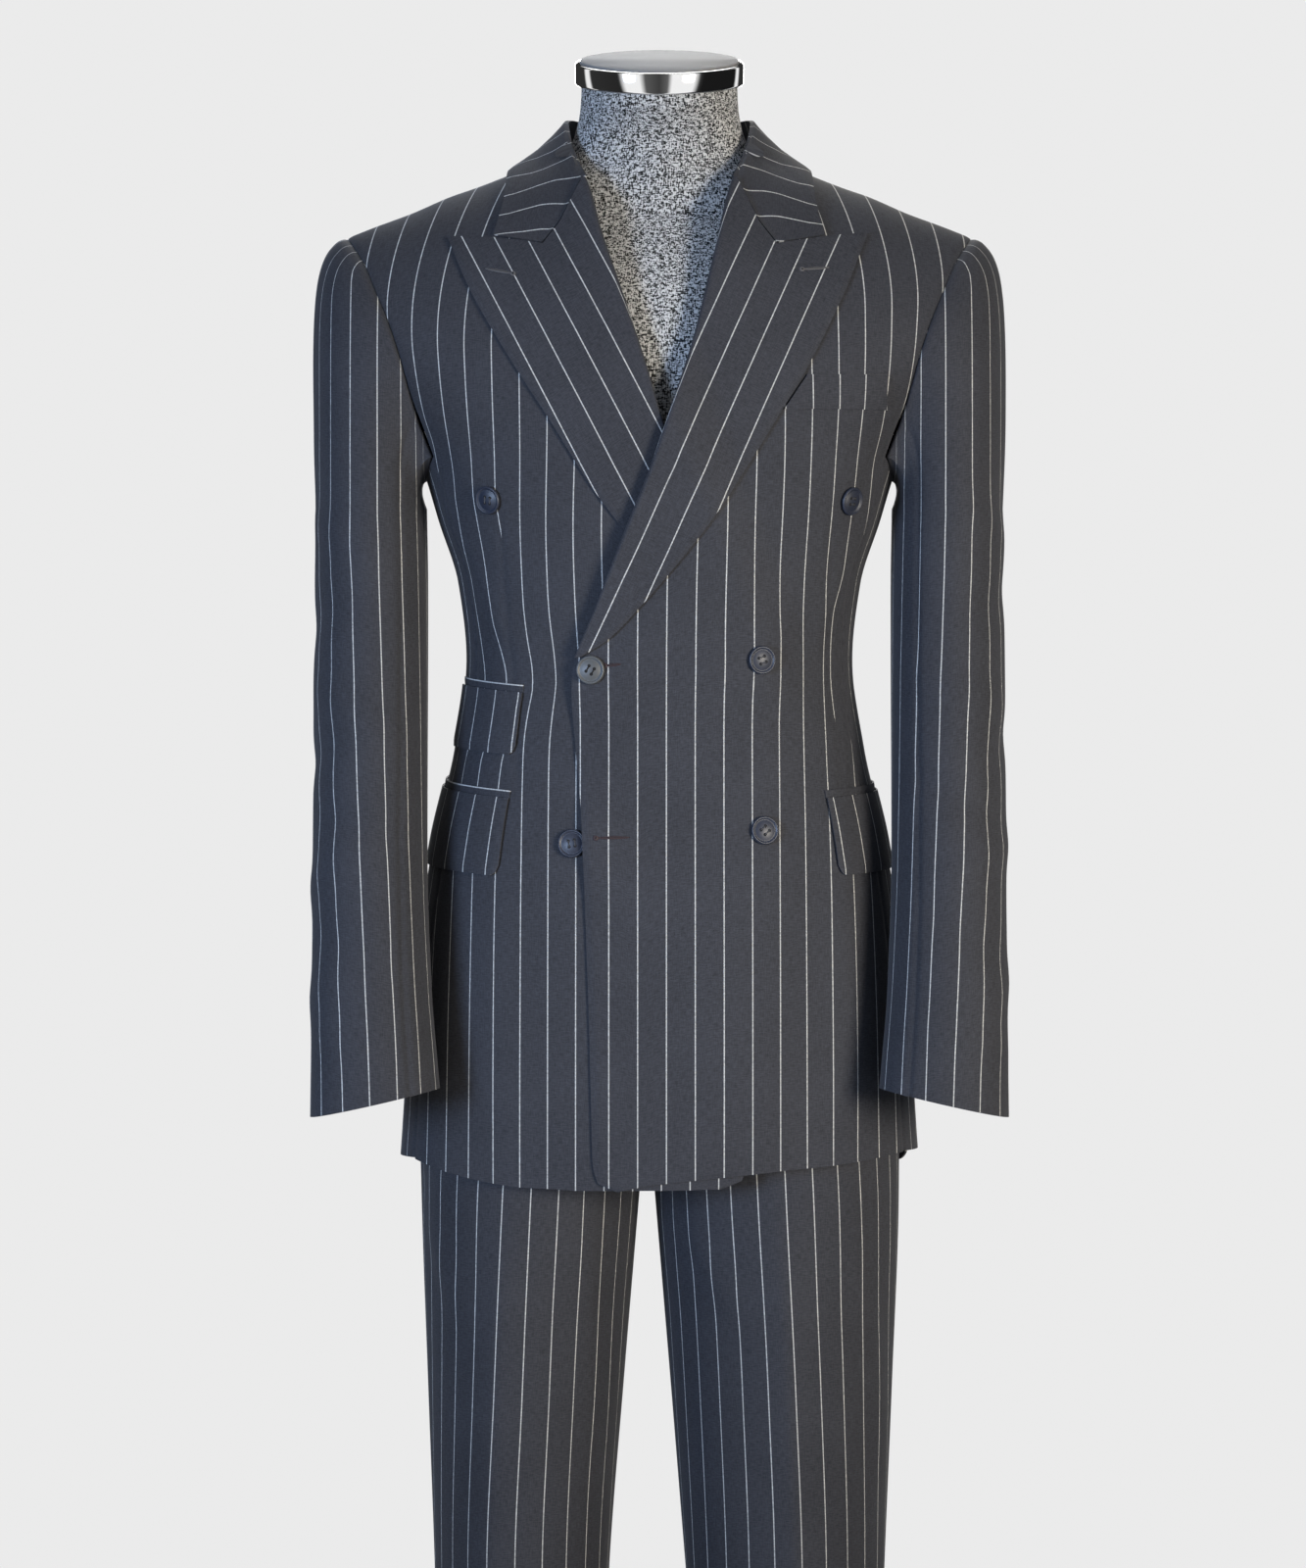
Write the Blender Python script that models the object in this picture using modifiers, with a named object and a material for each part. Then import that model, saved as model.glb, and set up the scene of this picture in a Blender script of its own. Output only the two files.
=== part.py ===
"""Striped double-breasted suit, jacket and trousers, on a limbless dress form.

Metres, +Z up. The suit faces -Y and the wearer's left is +X. The origin is on the
floor, under the middle of the round base. Every piece of cloth is an open surface
worked out from the suit's own sizes, with its wall turned inwards.
"""

from bisect import bisect_right
from collections import namedtuple
from math import asin, cos, degrees, exp, pi, radians, sin, tan

import bmesh
import bpy
from mathutils import Matrix, Vector

# Cloth
WALL = 0.0018
FLAP_WALL = 0.0015
SEAM_GAP = 0.0003
SEAM_TRIM = 0.00035
EDGE_EASE = 0.5
LAY_GAP = 0.0007
LAPEL_GAP = 0.0013
LAPEL_ROLL = 0.0028

# Grids: columns across and rows along each piece
LOW_ROWS = 13
HIGH_ROWS = 9
FRONT_COLUMNS = 12
SIDE_COLUMNS = 4
BACK_COLUMNS = 8
LAPEL_GRID = (5, 16)
COLLAR_GRID = (28, 8)
SLEEVE_UPPER_COLUMNS = 9
SLEEVE_UNDER_COLUMNS = 7
SLEEVE_HEAD_ROWS = 7
SLEEVE_ARM_ROWS = 8
FLAP_GRID = (8, 3)
POCKET_WELT_GRID = (8, 1)
CHEST_WELT_GRID = (5, 2)
TROUSER_COLUMNS = 10
TROUSER_LEG_ROWS = 6
TROUSER_HIP_ROWS = 6
BAND_COLUMNS = 32
FORM_COLUMNS = 28
ROW_CLOSING = 1.4
SETTLE_ROUNDS = 12
SEAM_ROUNDS = 20
WELD = 0.00001

# Jacket
ROUNDNESS = 2.35
CHEST_LEVEL = 1.2936
ARMPIT_LEVEL = 1.278
RIDGE_ANGLE_SCALE = 0.15
FRONT_SEAM_TURN = 68.0
BACK_SEAM_TURN_TOP = 112.0
BACK_SEAM_TURN_HEM = 100.0
VENT_TOP = 0.990
VENT_OPENING = 0.004
VENT_CORNER = 0.035
BACK_HEM = 0.766
NECK_POINT_X = 0.0745
SIDE_HEM_X = 0.185
BODY_ARC_RADIUS = 0.15
SIDE_ARC_SHARE = 0.75
NORMAL_STEP_TURN = 0.4
NORMAL_STEP_LEVEL = 0.0008

# Closure
OVERLAP_LIFT = 0.0027
OVERLAP_LIFT_ON_LAPEL = 0.0071
OVERLAP_STEP_LEVEL = 1.090
OVERLAP_STEP_HEIGHT = 0.045
OVERLAP_RAMP = 0.045
OVERLAP_MARGIN = 0.006
BUTTON_BULGE = 0.0046
BUTTON_BULGE_RADIUS = 0.030
BUTTON_BULGE_SHIFT = 0.004

# Buttons
BUTTON_RADIUS = 0.0105
BUTTON_THICKNESS = 0.0028
BUTTON_SEAT = 0.0006
CUFF_BUTTON_RADIUS = 0.0070
CUFF_BUTTON_THICKNESS = 0.0024
CUFF_BUTTON_PITCH = 0.0165
FRAME_STEP = 0.002
BUTTON_SEGMENTS = 16
CUFF_BUTTON_SEGMENTS = 8
RIM_SHARE = 0.16
DISH_SHARE = 0.55

# Sleeves
SLEEVE_START = 1.257
SLEEVE_FRONT_SEAM = 125.0
SLEEVE_BACK_SEAM_TOP = -75.0
SLEEVE_BACK_SEAM_CUFF = -38.0
CUFF_LEVEL = 0.8175
CUFF_SLANT = 0.0105
SLEEVE_RADIUS = 0.045
HEAD_LEAN_BACK = 0.30
HEAD_LEAN_UP = 0.10
HEAD_FULLNESS = 0.0125
HEAD_FULLNESS_OUTSIDE = 0.0055
HEAD_DROP = 0.085
HEAD_DROP_OUTSIDE = 0.078
HEAD_PULL_IN = 0.003
ARMHOLE_STEPS = 60
CUFF_BUTTON_FIRST = 0.040
CUFF_BUTTON_TURN = 11.0

# Trousers
FORK_TOP = 0.900
CROTCH_LEVEL = 0.812
TROUSER_CENTRE_X = -0.0092
TROUSER_HEM = 0.030
TROUSER_HEM_DROP = 0.008
CREASE_HEIGHT = 0.007
CREASE_REACH = 0.45
CREASE_UNDER_JACKET = 0.5
CREASE_SOFTENS_AT = 0.66
CREASE_SOFTENS_OVER = 0.12
MIDDLE_SEAM_SHARE = 0.999
TROUSER_SEAM_SHARE = 0.0024
CREASE_COLUMN = 0.5
BAND_BOTTOM = 1.0665
BAND_TOP = 1.105
HIP_ROUNDNESS = 2.3

# Dress form
FORM_CLEARANCE = 0.0025
NECK_TILT = 13.5
NECK_CENTRE_Y = -0.014
NECK_TOP = 1.5744
NECK_ROOT = 1.515
CAP_RADIUS = 0.0632
CAP_HEIGHT = 0.0162
CAP_DISC_RADIUS = 0.0595
CAP_DISC_THICKNESS = 0.0015
CAP_EDGE = 0.0018
CAP_SEGMENTS = 40
BASE_SEGMENTS = 48
FLANGE_SEGMENTS = 24
POLE_SEGMENTS = 20
POLE_X = 0.093
POLE_RADIUS = 0.0125
FLANGE_RADIUS = 0.042
FLANGE_THICKNESS = 0.008
FORM_BOTTOM = 0.905
BASE_RADIUS = 0.190
BASE_THICKNESS = 0.006
BASE_EDGE = 0.002

# Tables, one row for each section

JacketSection = namedtuple("JacketSection", "z half_width front back")
JACKET_SECTIONS = (
    JacketSection(0.740, 0.1965, 0.1285, 0.1300),
    JacketSection(0.790, 0.1930, 0.1275, 0.1300),
    JacketSection(0.867, 0.1880, 0.1250, 0.1280),
    JacketSection(0.941, 0.1800, 0.1215, 0.1250),
    JacketSection(1.012, 0.1687, 0.1160, 0.1180),
    JacketSection(1.077, 0.1537, 0.1095, 0.1060),
    JacketSection(1.145, 0.1447, 0.1065, 0.0960),
    JacketSection(1.201, 0.1507, 0.1105, 0.1000),
    JacketSection(1.248, 0.1655, 0.1170, 0.1080),
    JacketSection(1.278, 0.1745, 0.1205, 0.1130),
    JacketSection(1.2936, 0.1800, 0.1225, 0.1155),
    JacketSection(1.3237, 0.1987, 0.1235, 0.1175),
    JacketSection(1.346, 0.2139, 0.1235, 0.1180),
    JacketSection(1.372, 0.2312, 0.1235, 0.1180),
    JacketSection(1.394, 0.2434, 0.1230, 0.1180),
    JacketSection(1.4166, 0.2526, 0.1230, 0.1180),
    JacketSection(1.4375, 0.2560, 0.1230, 0.1180),
    JacketSection(1.560, 0.2580, 0.1230, 0.1180),
)

RidgePoint = namedtuple("RidgePoint", "x z")
SHOULDER_RIDGE = (
    RidgePoint(0.0000, 1.5560),
    RidgePoint(0.0300, 1.5510),
    RidgePoint(0.0550, 1.5390),
    RidgePoint(0.0720, 1.5273),
    RidgePoint(0.0882, 1.5178),
    RidgePoint(0.1110, 1.5082),
    RidgePoint(0.1374, 1.4979),
    RidgePoint(0.1566, 1.4913),
    RidgePoint(0.1860, 1.4786),
    RidgePoint(0.2124, 1.4689),
    RidgePoint(0.2337, 1.4604),
    RidgePoint(0.2600, 1.4480),
)

ArmholePoint = namedtuple("ArmholePoint", "z x")
ARMHOLE = (
    ArmholePoint(1.2936, 0.1688),
    ArmholePoint(1.3080, 0.1745),
    ArmholePoint(1.3237, 0.1800),
    ArmholePoint(1.3460, 0.1866),
    ArmholePoint(1.3720, 0.1939),
    ArmholePoint(1.3940, 0.2013),
    ArmholePoint(1.4166, 0.2108),
    ArmholePoint(1.4375, 0.2195),
    ArmholePoint(1.4604, 0.2337),
)

# The edge of each front, from the hem up to the button, then along the roll line.
EdgePoint = namedtuple("EdgePoint", "z x")
LEFT_EDGE = (
    EdgePoint(0.7525, -0.0310),
    EdgePoint(0.7576, -0.0444),
    EdgePoint(0.7744, -0.0489),
    EdgePoint(0.8116, -0.0499),
    EdgePoint(0.8868, -0.0518),
    EdgePoint(0.9426, -0.0538),
    EdgePoint(1.0129, -0.0560),
    EdgePoint(1.0460, -0.0583),
    EdgePoint(1.0791, -0.0615),
    EdgePoint(1.1122, -0.0637),
    EdgePoint(1.1331, -0.0627),
    EdgePoint(1.1470, -0.0580),
    EdgePoint(1.1859, -0.0423),
    EdgePoint(1.2231, -0.0282),
    EdgePoint(1.2819, -0.0050),
    EdgePoint(1.3452, 0.0172),
    EdgePoint(1.3800, 0.0279),
    EdgePoint(1.4445, 0.0432),
    EdgePoint(1.4972, 0.0555),
    EdgePoint(1.5130, 0.0660),
    EdgePoint(1.5258, NECK_POINT_X),
)
RIGHT_EDGE = (
    EdgePoint(0.7545, -0.0450),
    EdgePoint(0.7600, -0.0600),
    EdgePoint(0.7750, -0.0640),
    EdgePoint(1.0129, -0.0655),
    EdgePoint(1.1200, -0.0668),
    EdgePoint(1.1447, -0.0655),
    EdgePoint(1.1863, -0.0518),
    EdgePoint(1.2235, -0.0374),
    EdgePoint(1.2819, -0.0136),
    EdgePoint(1.3085, -0.0038),
    EdgePoint(1.3582, 0.0117),
    EdgePoint(1.4136, 0.0304),
    EdgePoint(1.4579, 0.0449),
    EdgePoint(1.4972, 0.0555),
    EdgePoint(1.5130, 0.0660),
    EdgePoint(1.5258, NECK_POINT_X),
)

HemPoint = namedtuple("HemPoint", "x z")
LEFT_HEM = (
    HemPoint(-0.0310, 0.7525),
    HemPoint(-0.0093, 0.7567),
    HemPoint(0.0279, 0.7610),
    HemPoint(0.0674, 0.7650),
    HemPoint(0.0958, 0.7680),
    HemPoint(0.1259, 0.7704),
    HemPoint(0.1605, 0.7749),
    HemPoint(0.1850, 0.7790),
)
RIGHT_HEM = (
    HemPoint(-0.0450, 0.7545),
    HemPoint(0.0000, 0.7535),
    HemPoint(0.0609, 0.7533),
    HemPoint(0.0800, 0.7544),
    HemPoint(0.1027, 0.7552),
    HemPoint(0.1252, 0.7582),
    HemPoint(0.1560, 0.7646),
    HemPoint(0.1850, 0.7740),
)

# Lapels: the free edge from the button up to the peak, then the top edge from the
# roll line along the collar seam to the peak.
LapelPoint = namedtuple("LapelPoint", "x z")
LEFT_LAPEL_EDGE = (
    LapelPoint(-0.0560, 1.1440),
    LapelPoint(-0.0360, 1.1579),
    LapelPoint(-0.0142, 1.1812),
    LapelPoint(0.0084, 1.2077),
    LapelPoint(0.0505, 1.2637),
    LapelPoint(0.0893, 1.3252),
    LapelPoint(0.1077, 1.3560),
    LapelPoint(0.1363, 1.4142),
    LapelPoint(0.1538, 1.4582),
)
RIGHT_LAPEL_EDGE = (
    LapelPoint(-0.0620, 1.1410),
    LapelPoint(-0.0420, 1.1590),
    LapelPoint(-0.0194, 1.1804),
    LapelPoint(0.0007, 1.2070),
    LapelPoint(0.0429, 1.2594),
    LapelPoint(0.0827, 1.3218),
    LapelPoint(0.1033, 1.3534),
    LapelPoint(0.1395, 1.4154),
    LapelPoint(0.1566, 1.4555),
)
LEFT_LAPEL_TOP = (
    LapelPoint(0.0555, 1.4972),
    LapelPoint(0.0721, 1.4640),
    LapelPoint(0.0852, 1.4478),
    LapelPoint(0.1034, 1.4510),
    LapelPoint(0.1220, 1.4545),
    LapelPoint(0.1385, 1.4566),
    LapelPoint(0.1538, 1.4582),
)
RIGHT_LAPEL_TOP = (
    LapelPoint(0.0555, 1.4972),
    LapelPoint(0.0721, 1.4640),
    LapelPoint(0.0852, 1.4478),
    LapelPoint(0.1034, 1.4510),
    LapelPoint(0.1220, 1.4535),
    LapelPoint(0.1395, 1.4546),
    LapelPoint(0.1566, 1.4555),
)
LAPEL_TOP_REACH = 4.0
LAPEL_ROLL_START = {1: 0.0, -1: 0.45}
LAPEL_ROLL_RISE = 0.3

# Collar: "along" runs from the middle of the back, 0, to the lapel, 1. "tip" is the
# angle round the shoulder, from the ridge: positive forwards, negative backwards.
CollarSeamPoint = namedtuple("CollarSeamPoint", "along x tip")
NECK_SEAM = (
    CollarSeamPoint(0.00, 0.0000, -33.7),
    CollarSeamPoint(0.30, 0.0450, -26.5),
    CollarSeamPoint(0.50, 0.0680, -11.5),
    CollarSeamPoint(0.62, NECK_POINT_X, 0.0),
    CollarSeamPoint(0.80, 0.0660, 22.8),
    CollarSeamPoint(1.00, 0.0555, 34.1),
)
COLLAR_EDGE = (
    CollarSeamPoint(0.00, 0.0000, -39.0),
    CollarSeamPoint(0.30, 0.0600, -33.0),
    CollarSeamPoint(0.50, 0.0970, -18.0),
    CollarSeamPoint(0.62, 0.1110, -1.0),
    CollarSeamPoint(0.80, 0.1145, 27.0),
    CollarSeamPoint(1.00, 0.1220, 40.0),
)
CollarFoldPoint = namedtuple("CollarFoldPoint", "along x y z")
COLLAR_FOLD = (
    CollarFoldPoint(0.00, 0.0000, 0.0620, 1.5500),
    CollarFoldPoint(0.30, 0.0400, 0.0500, 1.5505),
    CollarFoldPoint(0.50, 0.0655, 0.0200, 1.5505),
    CollarFoldPoint(0.62, 0.0705, -0.0040, 1.5470),
    CollarFoldPoint(0.75, 0.0685, -0.0280, 1.5330),
    CollarFoldPoint(0.88, 0.0625, -0.0500, 1.5145),
    CollarFoldPoint(1.00, 0.0548, -0.0735, 1.4995),
)
COLLAR_LIFT = 0.0042
COLLAR_END_REACH = 5.0
GORGE_GAP = 0.0022
COLLAR_FOLD_RADIUS = 0.0030
COLLAR_STAND_SHARE = 0.34
COLLAR_END_TRIM = 0.9965
COLLAR_AXIS_Y = -0.012
COLLAR_LEAF_DISTANCE = 0.0795

# Pockets: "turn" is the angle round the body from the front's middle, "level" the height.
PocketPiece = namedtuple(
    "PocketPiece",
    "name side turn_front turn_back level_front level_back height",
)
POCKET_PIECES = (
    PocketPiece("hip_flap_left", 1, 46.0, 108.0, 1.0405, 1.0500, 0.0575),
    PocketPiece("hip_flap_right", -1, 39.5, 104.0, 1.0405, 1.0530, 0.0575),
    PocketPiece("ticket_flap_right", -1, 40.0, 82.0, 1.1185, 1.1260, 0.0465),
)
WELT_HEIGHT = 0.0055
WELT_WALL = 0.0011
FLAP_CORNER = 0.008
POCKET_ARC_RADIUS = 0.14

ChestWelt = namedtuple("ChestWelt", "x_top x_bottom z_top z_bottom")
CHEST_WELT_FRONT = ChestWelt(0.1083, 0.0912, 1.3515, 1.3260)
CHEST_WELT_BACK = ChestWelt(0.1672, 0.1668, 1.3530, 1.3275)

ButtonPlace = namedtuple("ButtonPlace", "name side x z")
BUTTONS = (
    ButtonPlace("button_left_chest", 1, 0.1412, 1.2602),
    ButtonPlace("button_left_waist", 1, 0.0725, 1.1421),
    ButtonPlace("button_left_hip", 1, 0.0762, 1.0165),
    ButtonPlace("button_fastened", 1, -0.0494, 1.1345),
    ButtonPlace("button_right_chest", -1, 0.1256, 1.2604),
    ButtonPlace("button_right_hip", -1, 0.0640, 1.0072),
)

SleeveSection = namedtuple("SleeveSection", "z centre_x half_width centre_y half_depth")
SLEEVE_SECTIONS = (
    SleeveSection(0.800, 0.2073, 0.0490, -0.115, 0.0460),
    SleeveSection(0.850, 0.2098, 0.0464, -0.104, 0.0480),
    SleeveSection(0.900, 0.2120, 0.0442, -0.092, 0.0510),
    SleeveSection(1.000, 0.2143, 0.0425, -0.065, 0.0560),
    SleeveSection(1.125, 0.2150, 0.0426, -0.034, 0.0610),
    SleeveSection(1.200, 0.2154, 0.0424, -0.015, 0.0640),
    SleeveSection(1.257, 0.2157, 0.0415, -0.006, 0.0660),
)

HipSection = namedtuple("HipSection", "z half_width front back")
HIP_SECTIONS = (
    HipSection(0.810, 0.1800, 0.1040, 0.1090),
    HipSection(0.880, 0.1740, 0.1060, 0.1120),
    HipSection(0.940, 0.1650, 0.1050, 0.1110),
    HipSection(1.000, 0.1520, 0.1020, 0.1000),
    HipSection(1.067, 0.1395, 0.0965, 0.0885),
    HipSection(1.110, 0.1385, 0.0955, 0.0865),
)

LegSection = namedtuple(
    "LegSection",
    "z left_in left_out left_crease right_in right_out right_crease front back",
)
LEG_SECTIONS = (
    LegSection(0.020, 0.0475, 0.1545, 0.1010, 0.0505, 0.1575, 0.1130, 0.070, 0.080),
    LegSection(0.250, 0.0380, 0.1615, 0.1020, 0.0470, 0.1630, 0.1230, 0.073, 0.082),
    LegSection(0.463, 0.0196, 0.1689, 0.1010, 0.0375, 0.1685, 0.1275, 0.081, 0.089),
    LegSection(0.600, 0.0085, 0.1745, 0.0960, 0.0270, 0.1735, 0.1220, 0.089, 0.094),
    LegSection(0.746, -0.0037, 0.1797, 0.0886, 0.0147, 0.1786, 0.1156, 0.098, 0.100),
    LegSection(0.812, TROUSER_CENTRE_X, 0.1800, 0.0860, -TROUSER_CENTRE_X, 0.1800, 0.1120, 0.103, 0.102),
    LegSection(0.900, TROUSER_CENTRE_X, 0.1800, 0.0860, -TROUSER_CENTRE_X, 0.1800, 0.1120, 0.103, 0.102),
)

FormSection = namedtuple("FormSection", "z half_width front back centre_y roundness")
FORM_SECTIONS = (
    FormSection(0.905, 0.1570, 0.0960, 0.1010, 0.0, 2.3),
    FormSection(0.940, 0.1580, 0.0970, 0.1020, 0.0, 2.3),
    FormSection(1.000, 0.1480, 0.0980, 0.0960, 0.0, 2.3),
    FormSection(1.067, 0.1362, 0.0932, 0.0852, 0.0, 2.3),
    FormSection(1.105, 0.1350, 0.0925, 0.0838, 0.0, 2.3),
    FormSection(1.145, 0.1340, 0.0940, 0.0840, 0.0, 2.3),
    FormSection(1.200, 0.1390, 0.0990, 0.0880, 0.0, 2.3),
    FormSection(1.248, 0.1480, 0.1050, 0.0960, 0.0, 2.3),
    FormSection(1.2936, 0.1580, 0.1080, 0.1010, 0.0, 2.3),
    FormSection(1.360, 0.1700, 0.1070, 0.1030, 0.0, 2.3),
    FormSection(1.410, 0.1760, 0.0960, 0.0930, 0.0, 2.2),
    FormSection(1.440, 0.1770, 0.0820, 0.0810, 0.0, 2.1),
    FormSection(1.460, 0.1750, 0.0700, 0.0700, 0.0, 1.9),
    FormSection(1.474, 0.1720, 0.0600, 0.0610, 0.0, 1.7),
)
NECK_SECTIONS = (
    FormSection(1.5115, 0.0920, 0.0575, 0.0540, 0.0, 1.5),
    FormSection(1.5175, 0.0790, 0.0540, 0.0500, -0.001, 1.7),
    FormSection(1.5300, 0.0665, 0.0510, 0.0470, -0.002, 2.0),
    FormSection(1.5430, 0.0615, 0.0530, 0.0500, -0.006, 2.0),
    FormSection(1.5560, 0.0592, 0.0560, 0.0540, -0.010, 2.0),
    FormSection(1.5650, 0.0585, 0.0580, 0.0580, NECK_CENTRE_Y, 2.0),
    FormSection(NECK_TOP, 0.0582, 0.0582, 0.0582, NECK_CENTRE_Y, 2.0),
)
SHOULDER_CONTACT_X = (0.168, 0.152, 0.1374, 0.124, 0.111)
SHOULDER_DEPTH_FRONT = 0.058
SHOULDER_DEPTH_BACK = 0.056
SHOULDER_ROUNDNESS = 1.5

# Colours: red, green and blue from 0 to 1, then roughness and metallic
Finish = namedtuple("Finish", "colour roughness metallic")
SUITING = Finish((0.045, 0.050, 0.064), 0.85, 0.0)
BUTTON_HORN = Finish((0.016, 0.018, 0.026), 0.35, 0.0)
HEATHER = Finish((0.180, 0.180, 0.185), 0.95, 0.0)
CHROME = Finish((0.780, 0.780, 0.790), 0.08, 1.0)
SATIN = Finish((0.340, 0.340, 0.340), 0.40, 1.0)
STEEL = Finish((0.450, 0.450, 0.460), 0.35, 1.0)


class Curve:
    """A smooth line through a table's rows that never swings past them."""

    def __init__(self, rows, key, value):
        ordered = sorted(rows, key=lambda row: getattr(row, key))
        self.at = [getattr(row, key) for row in ordered]
        self.values = [getattr(row, value) for row in ordered]
        steps = [
            (self.values[i + 1] - self.values[i]) / (self.at[i + 1] - self.at[i])
            for i in range(len(self.at) - 1)
        ]
        inner = [
            0.0 if before * after <= 0.0 else 2.0 * before * after / (before + after)
            for before, after in zip(steps, steps[1:])
        ]
        self.slopes = [steps[0]] + inner + [steps[-1]]

    def __call__(self, key):
        key = min(max(key, self.at[0]), self.at[-1])
        i = min(max(bisect_right(self.at, key) - 1, 0), len(self.at) - 2)
        span = self.at[i + 1] - self.at[i]
        u = (key - self.at[i]) / span
        rest = 1.0 - u
        return (
            (1.0 + 2.0 * u) * rest * rest * self.values[i]
            + u * rest * rest * span * self.slopes[i]
            + u * u * (3.0 - 2.0 * u) * self.values[i + 1]
            - u * u * rest * span * self.slopes[i + 1]
        )


def blend(low, high, part):
    return low + (high - low) * part


def soft_step(value):
    value = min(max(value, 0.0), 1.0)
    return value * value * (3.0 - 2.0 * value)


def signed_power(value, power):
    return abs(value) ** power * (1.0 if value >= 0.0 else -1.0)


jacket_half_width = Curve(JACKET_SECTIONS, "z", "half_width")
jacket_front = Curve(JACKET_SECTIONS, "z", "front")
jacket_back = Curve(JACKET_SECTIONS, "z", "back")
shoulder_ridge = Curve(SHOULDER_RIDGE, "x", "z")
armhole_x = Curve(ARMHOLE, "z", "x")
edge_x = {1: Curve(LEFT_EDGE, "z", "x"), -1: Curve(RIGHT_EDGE, "z", "x")}
front_hem = {1: Curve(LEFT_HEM, "x", "z"), -1: Curve(RIGHT_HEM, "x", "z")}
back_neck_tip = Curve([row for row in NECK_SEAM if row.tip <= 0.0], "x", "tip")


def body_point(turn, level):
    """A point of the jacket's outside.

    turn is the angle round the body in degrees: 0 in front, 90 at the wearer's left.
    level is the height, and above CHEST_LEVEL the arc up to the shoulder's ridge.
    """
    s = signed_power(sin(radians(turn)), 2.0 / ROUNDNESS)
    c = signed_power(cos(radians(turn)), 2.0 / ROUNDNESS)
    if level <= CHEST_LEVEL:
        depth = jacket_front(level) if c > 0.0 else jacket_back(level)
        return Vector((s * jacket_half_width(level), -c * depth, level))
    climb = min((level - CHEST_LEVEL) / RIDGE_ANGLE_SCALE, pi / 2.0)
    x = s * jacket_half_width(CHEST_LEVEL)
    for _ in range(SETTLE_ROUNDS):
        z = blend(CHEST_LEVEL, shoulder_ridge(abs(x)), sin(climb))
        x = s * jacket_half_width(z)
    depth = jacket_front(z) if c > 0.0 else jacket_back(z)
    return Vector((x, -c * depth * cos(climb), z))


def place_of(x, z, back=False):
    """The turn and the level of the jacket's point at this x and height."""
    share = min(abs(x) / jacket_half_width(z), 1.0)
    turn = degrees(asin(share ** (ROUNDNESS / 2.0)))
    if back:
        turn = 180.0 - turn
    if x < 0.0:
        turn = -turn
    if z <= CHEST_LEVEL:
        return turn, z
    climb = asin(min((z - CHEST_LEVEL) / (shoulder_ridge(abs(x)) - CHEST_LEVEL), 1.0))
    return turn, CHEST_LEVEL + climb * RIDGE_ANGLE_SCALE


def body_normal(turn, level):
    top = CHEST_LEVEL + RIDGE_ANGLE_SCALE * pi / 2.0
    level = min(level, top - NORMAL_STEP_LEVEL)
    around = body_point(turn + NORMAL_STEP_TURN, level) - body_point(turn - NORMAL_STEP_TURN, level)
    up = body_point(turn, level + NORMAL_STEP_LEVEL) - body_point(turn, level - NORMAL_STEP_LEVEL)
    return around.cross(up).normalized()


def on_body(turn, level, lift):
    return body_point(turn, level) + body_normal(turn, level) * lift


def overlap_lift(x, z):
    """How far the left front stands off the body where it laps over the right front."""
    under = -edge_x[-1](z)
    ramp = 1.0 - soft_step((x - under - OVERLAP_MARGIN) / OVERLAP_RAMP)
    on_lapel = soft_step((z - OVERLAP_STEP_LEVEL) / OVERLAP_STEP_HEIGHT)
    stack = blend(OVERLAP_LIFT, OVERLAP_LIFT_ON_LAPEL, on_lapel)
    hidden = BUTTONS[-1]
    away = ((x + hidden.x - BUTTON_BULGE_SHIFT) ** 2 + (z - hidden.z) ** 2) / BUTTON_BULGE_RADIUS ** 2
    return stack * ramp + BUTTON_BULGE * exp(-away)


def on_front(side, x, z, lift):
    """A point on the front of this side. x grows from the middle to this side's arm."""
    if side > 0:
        lift = lift + overlap_lift(x, z)
    turn, level = place_of(side * x, z)
    return on_body(turn, level, lift)


def climb_height(x, climb):
    return blend(CHEST_LEVEL, shoulder_ridge(abs(x)), sin(climb))


def turn_of(x, z):
    share = signed_power(x / jacket_half_width(z), ROUNDNESS / 2.0)
    return degrees(asin(min(max(share, -1.0), 1.0)))


def meet(curve, climb, start):
    """The x where a seam, given as x by height, crosses the line of this climb."""
    x = start
    for _ in range(SEAM_ROUNDS):
        x = curve(climb_height(x, climb))
    return x


def armhole_level(turn):
    """The armhole's height under the arm."""
    off = (abs(turn) - 90.0) / (90.0 - FRONT_SEAM_TURN)
    return blend(ARMPIT_LEVEL, CHEST_LEVEL, min(off * off, 1.0))


def back_seam_turn(level):
    part = (level - BACK_HEM) / (CHEST_LEVEL - BACK_HEM)
    return blend(BACK_SEAM_TURN_HEM, BACK_SEAM_TURN_TOP, min(max(part, 0.0), 1.0))


def vent_gap(level):
    """Half of the opening between the side and the back, wider down the vent."""
    if level >= VENT_TOP:
        return SEAM_TRIM
    return SEAM_TRIM + VENT_OPENING / 2.0 * (VENT_TOP - level) / (VENT_TOP - BACK_HEM)


def turn_for(length, level):
    """The angle, in degrees, that this length takes up near the side of the body."""
    return degrees(length / (SIDE_ARC_SHARE * jacket_front(level)))


def corner_rise(distance, radius):
    """The height of a rounded corner at this distance from its upright edge."""
    if distance >= radius:
        return 0.0
    return radius - (radius ** 2 - (radius - distance) ** 2) ** 0.5


def finish_material(name, finish):
    material = bpy.data.materials.new(name)
    material.use_nodes = True
    shader = material.node_tree.nodes["Principled BSDF"]
    shader.inputs["Base Color"].default_value = (*finish.colour, 1.0)
    shader.inputs["Roughness"].default_value = finish.roughness
    shader.inputs["Metallic"].default_value = finish.metallic
    return material


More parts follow.
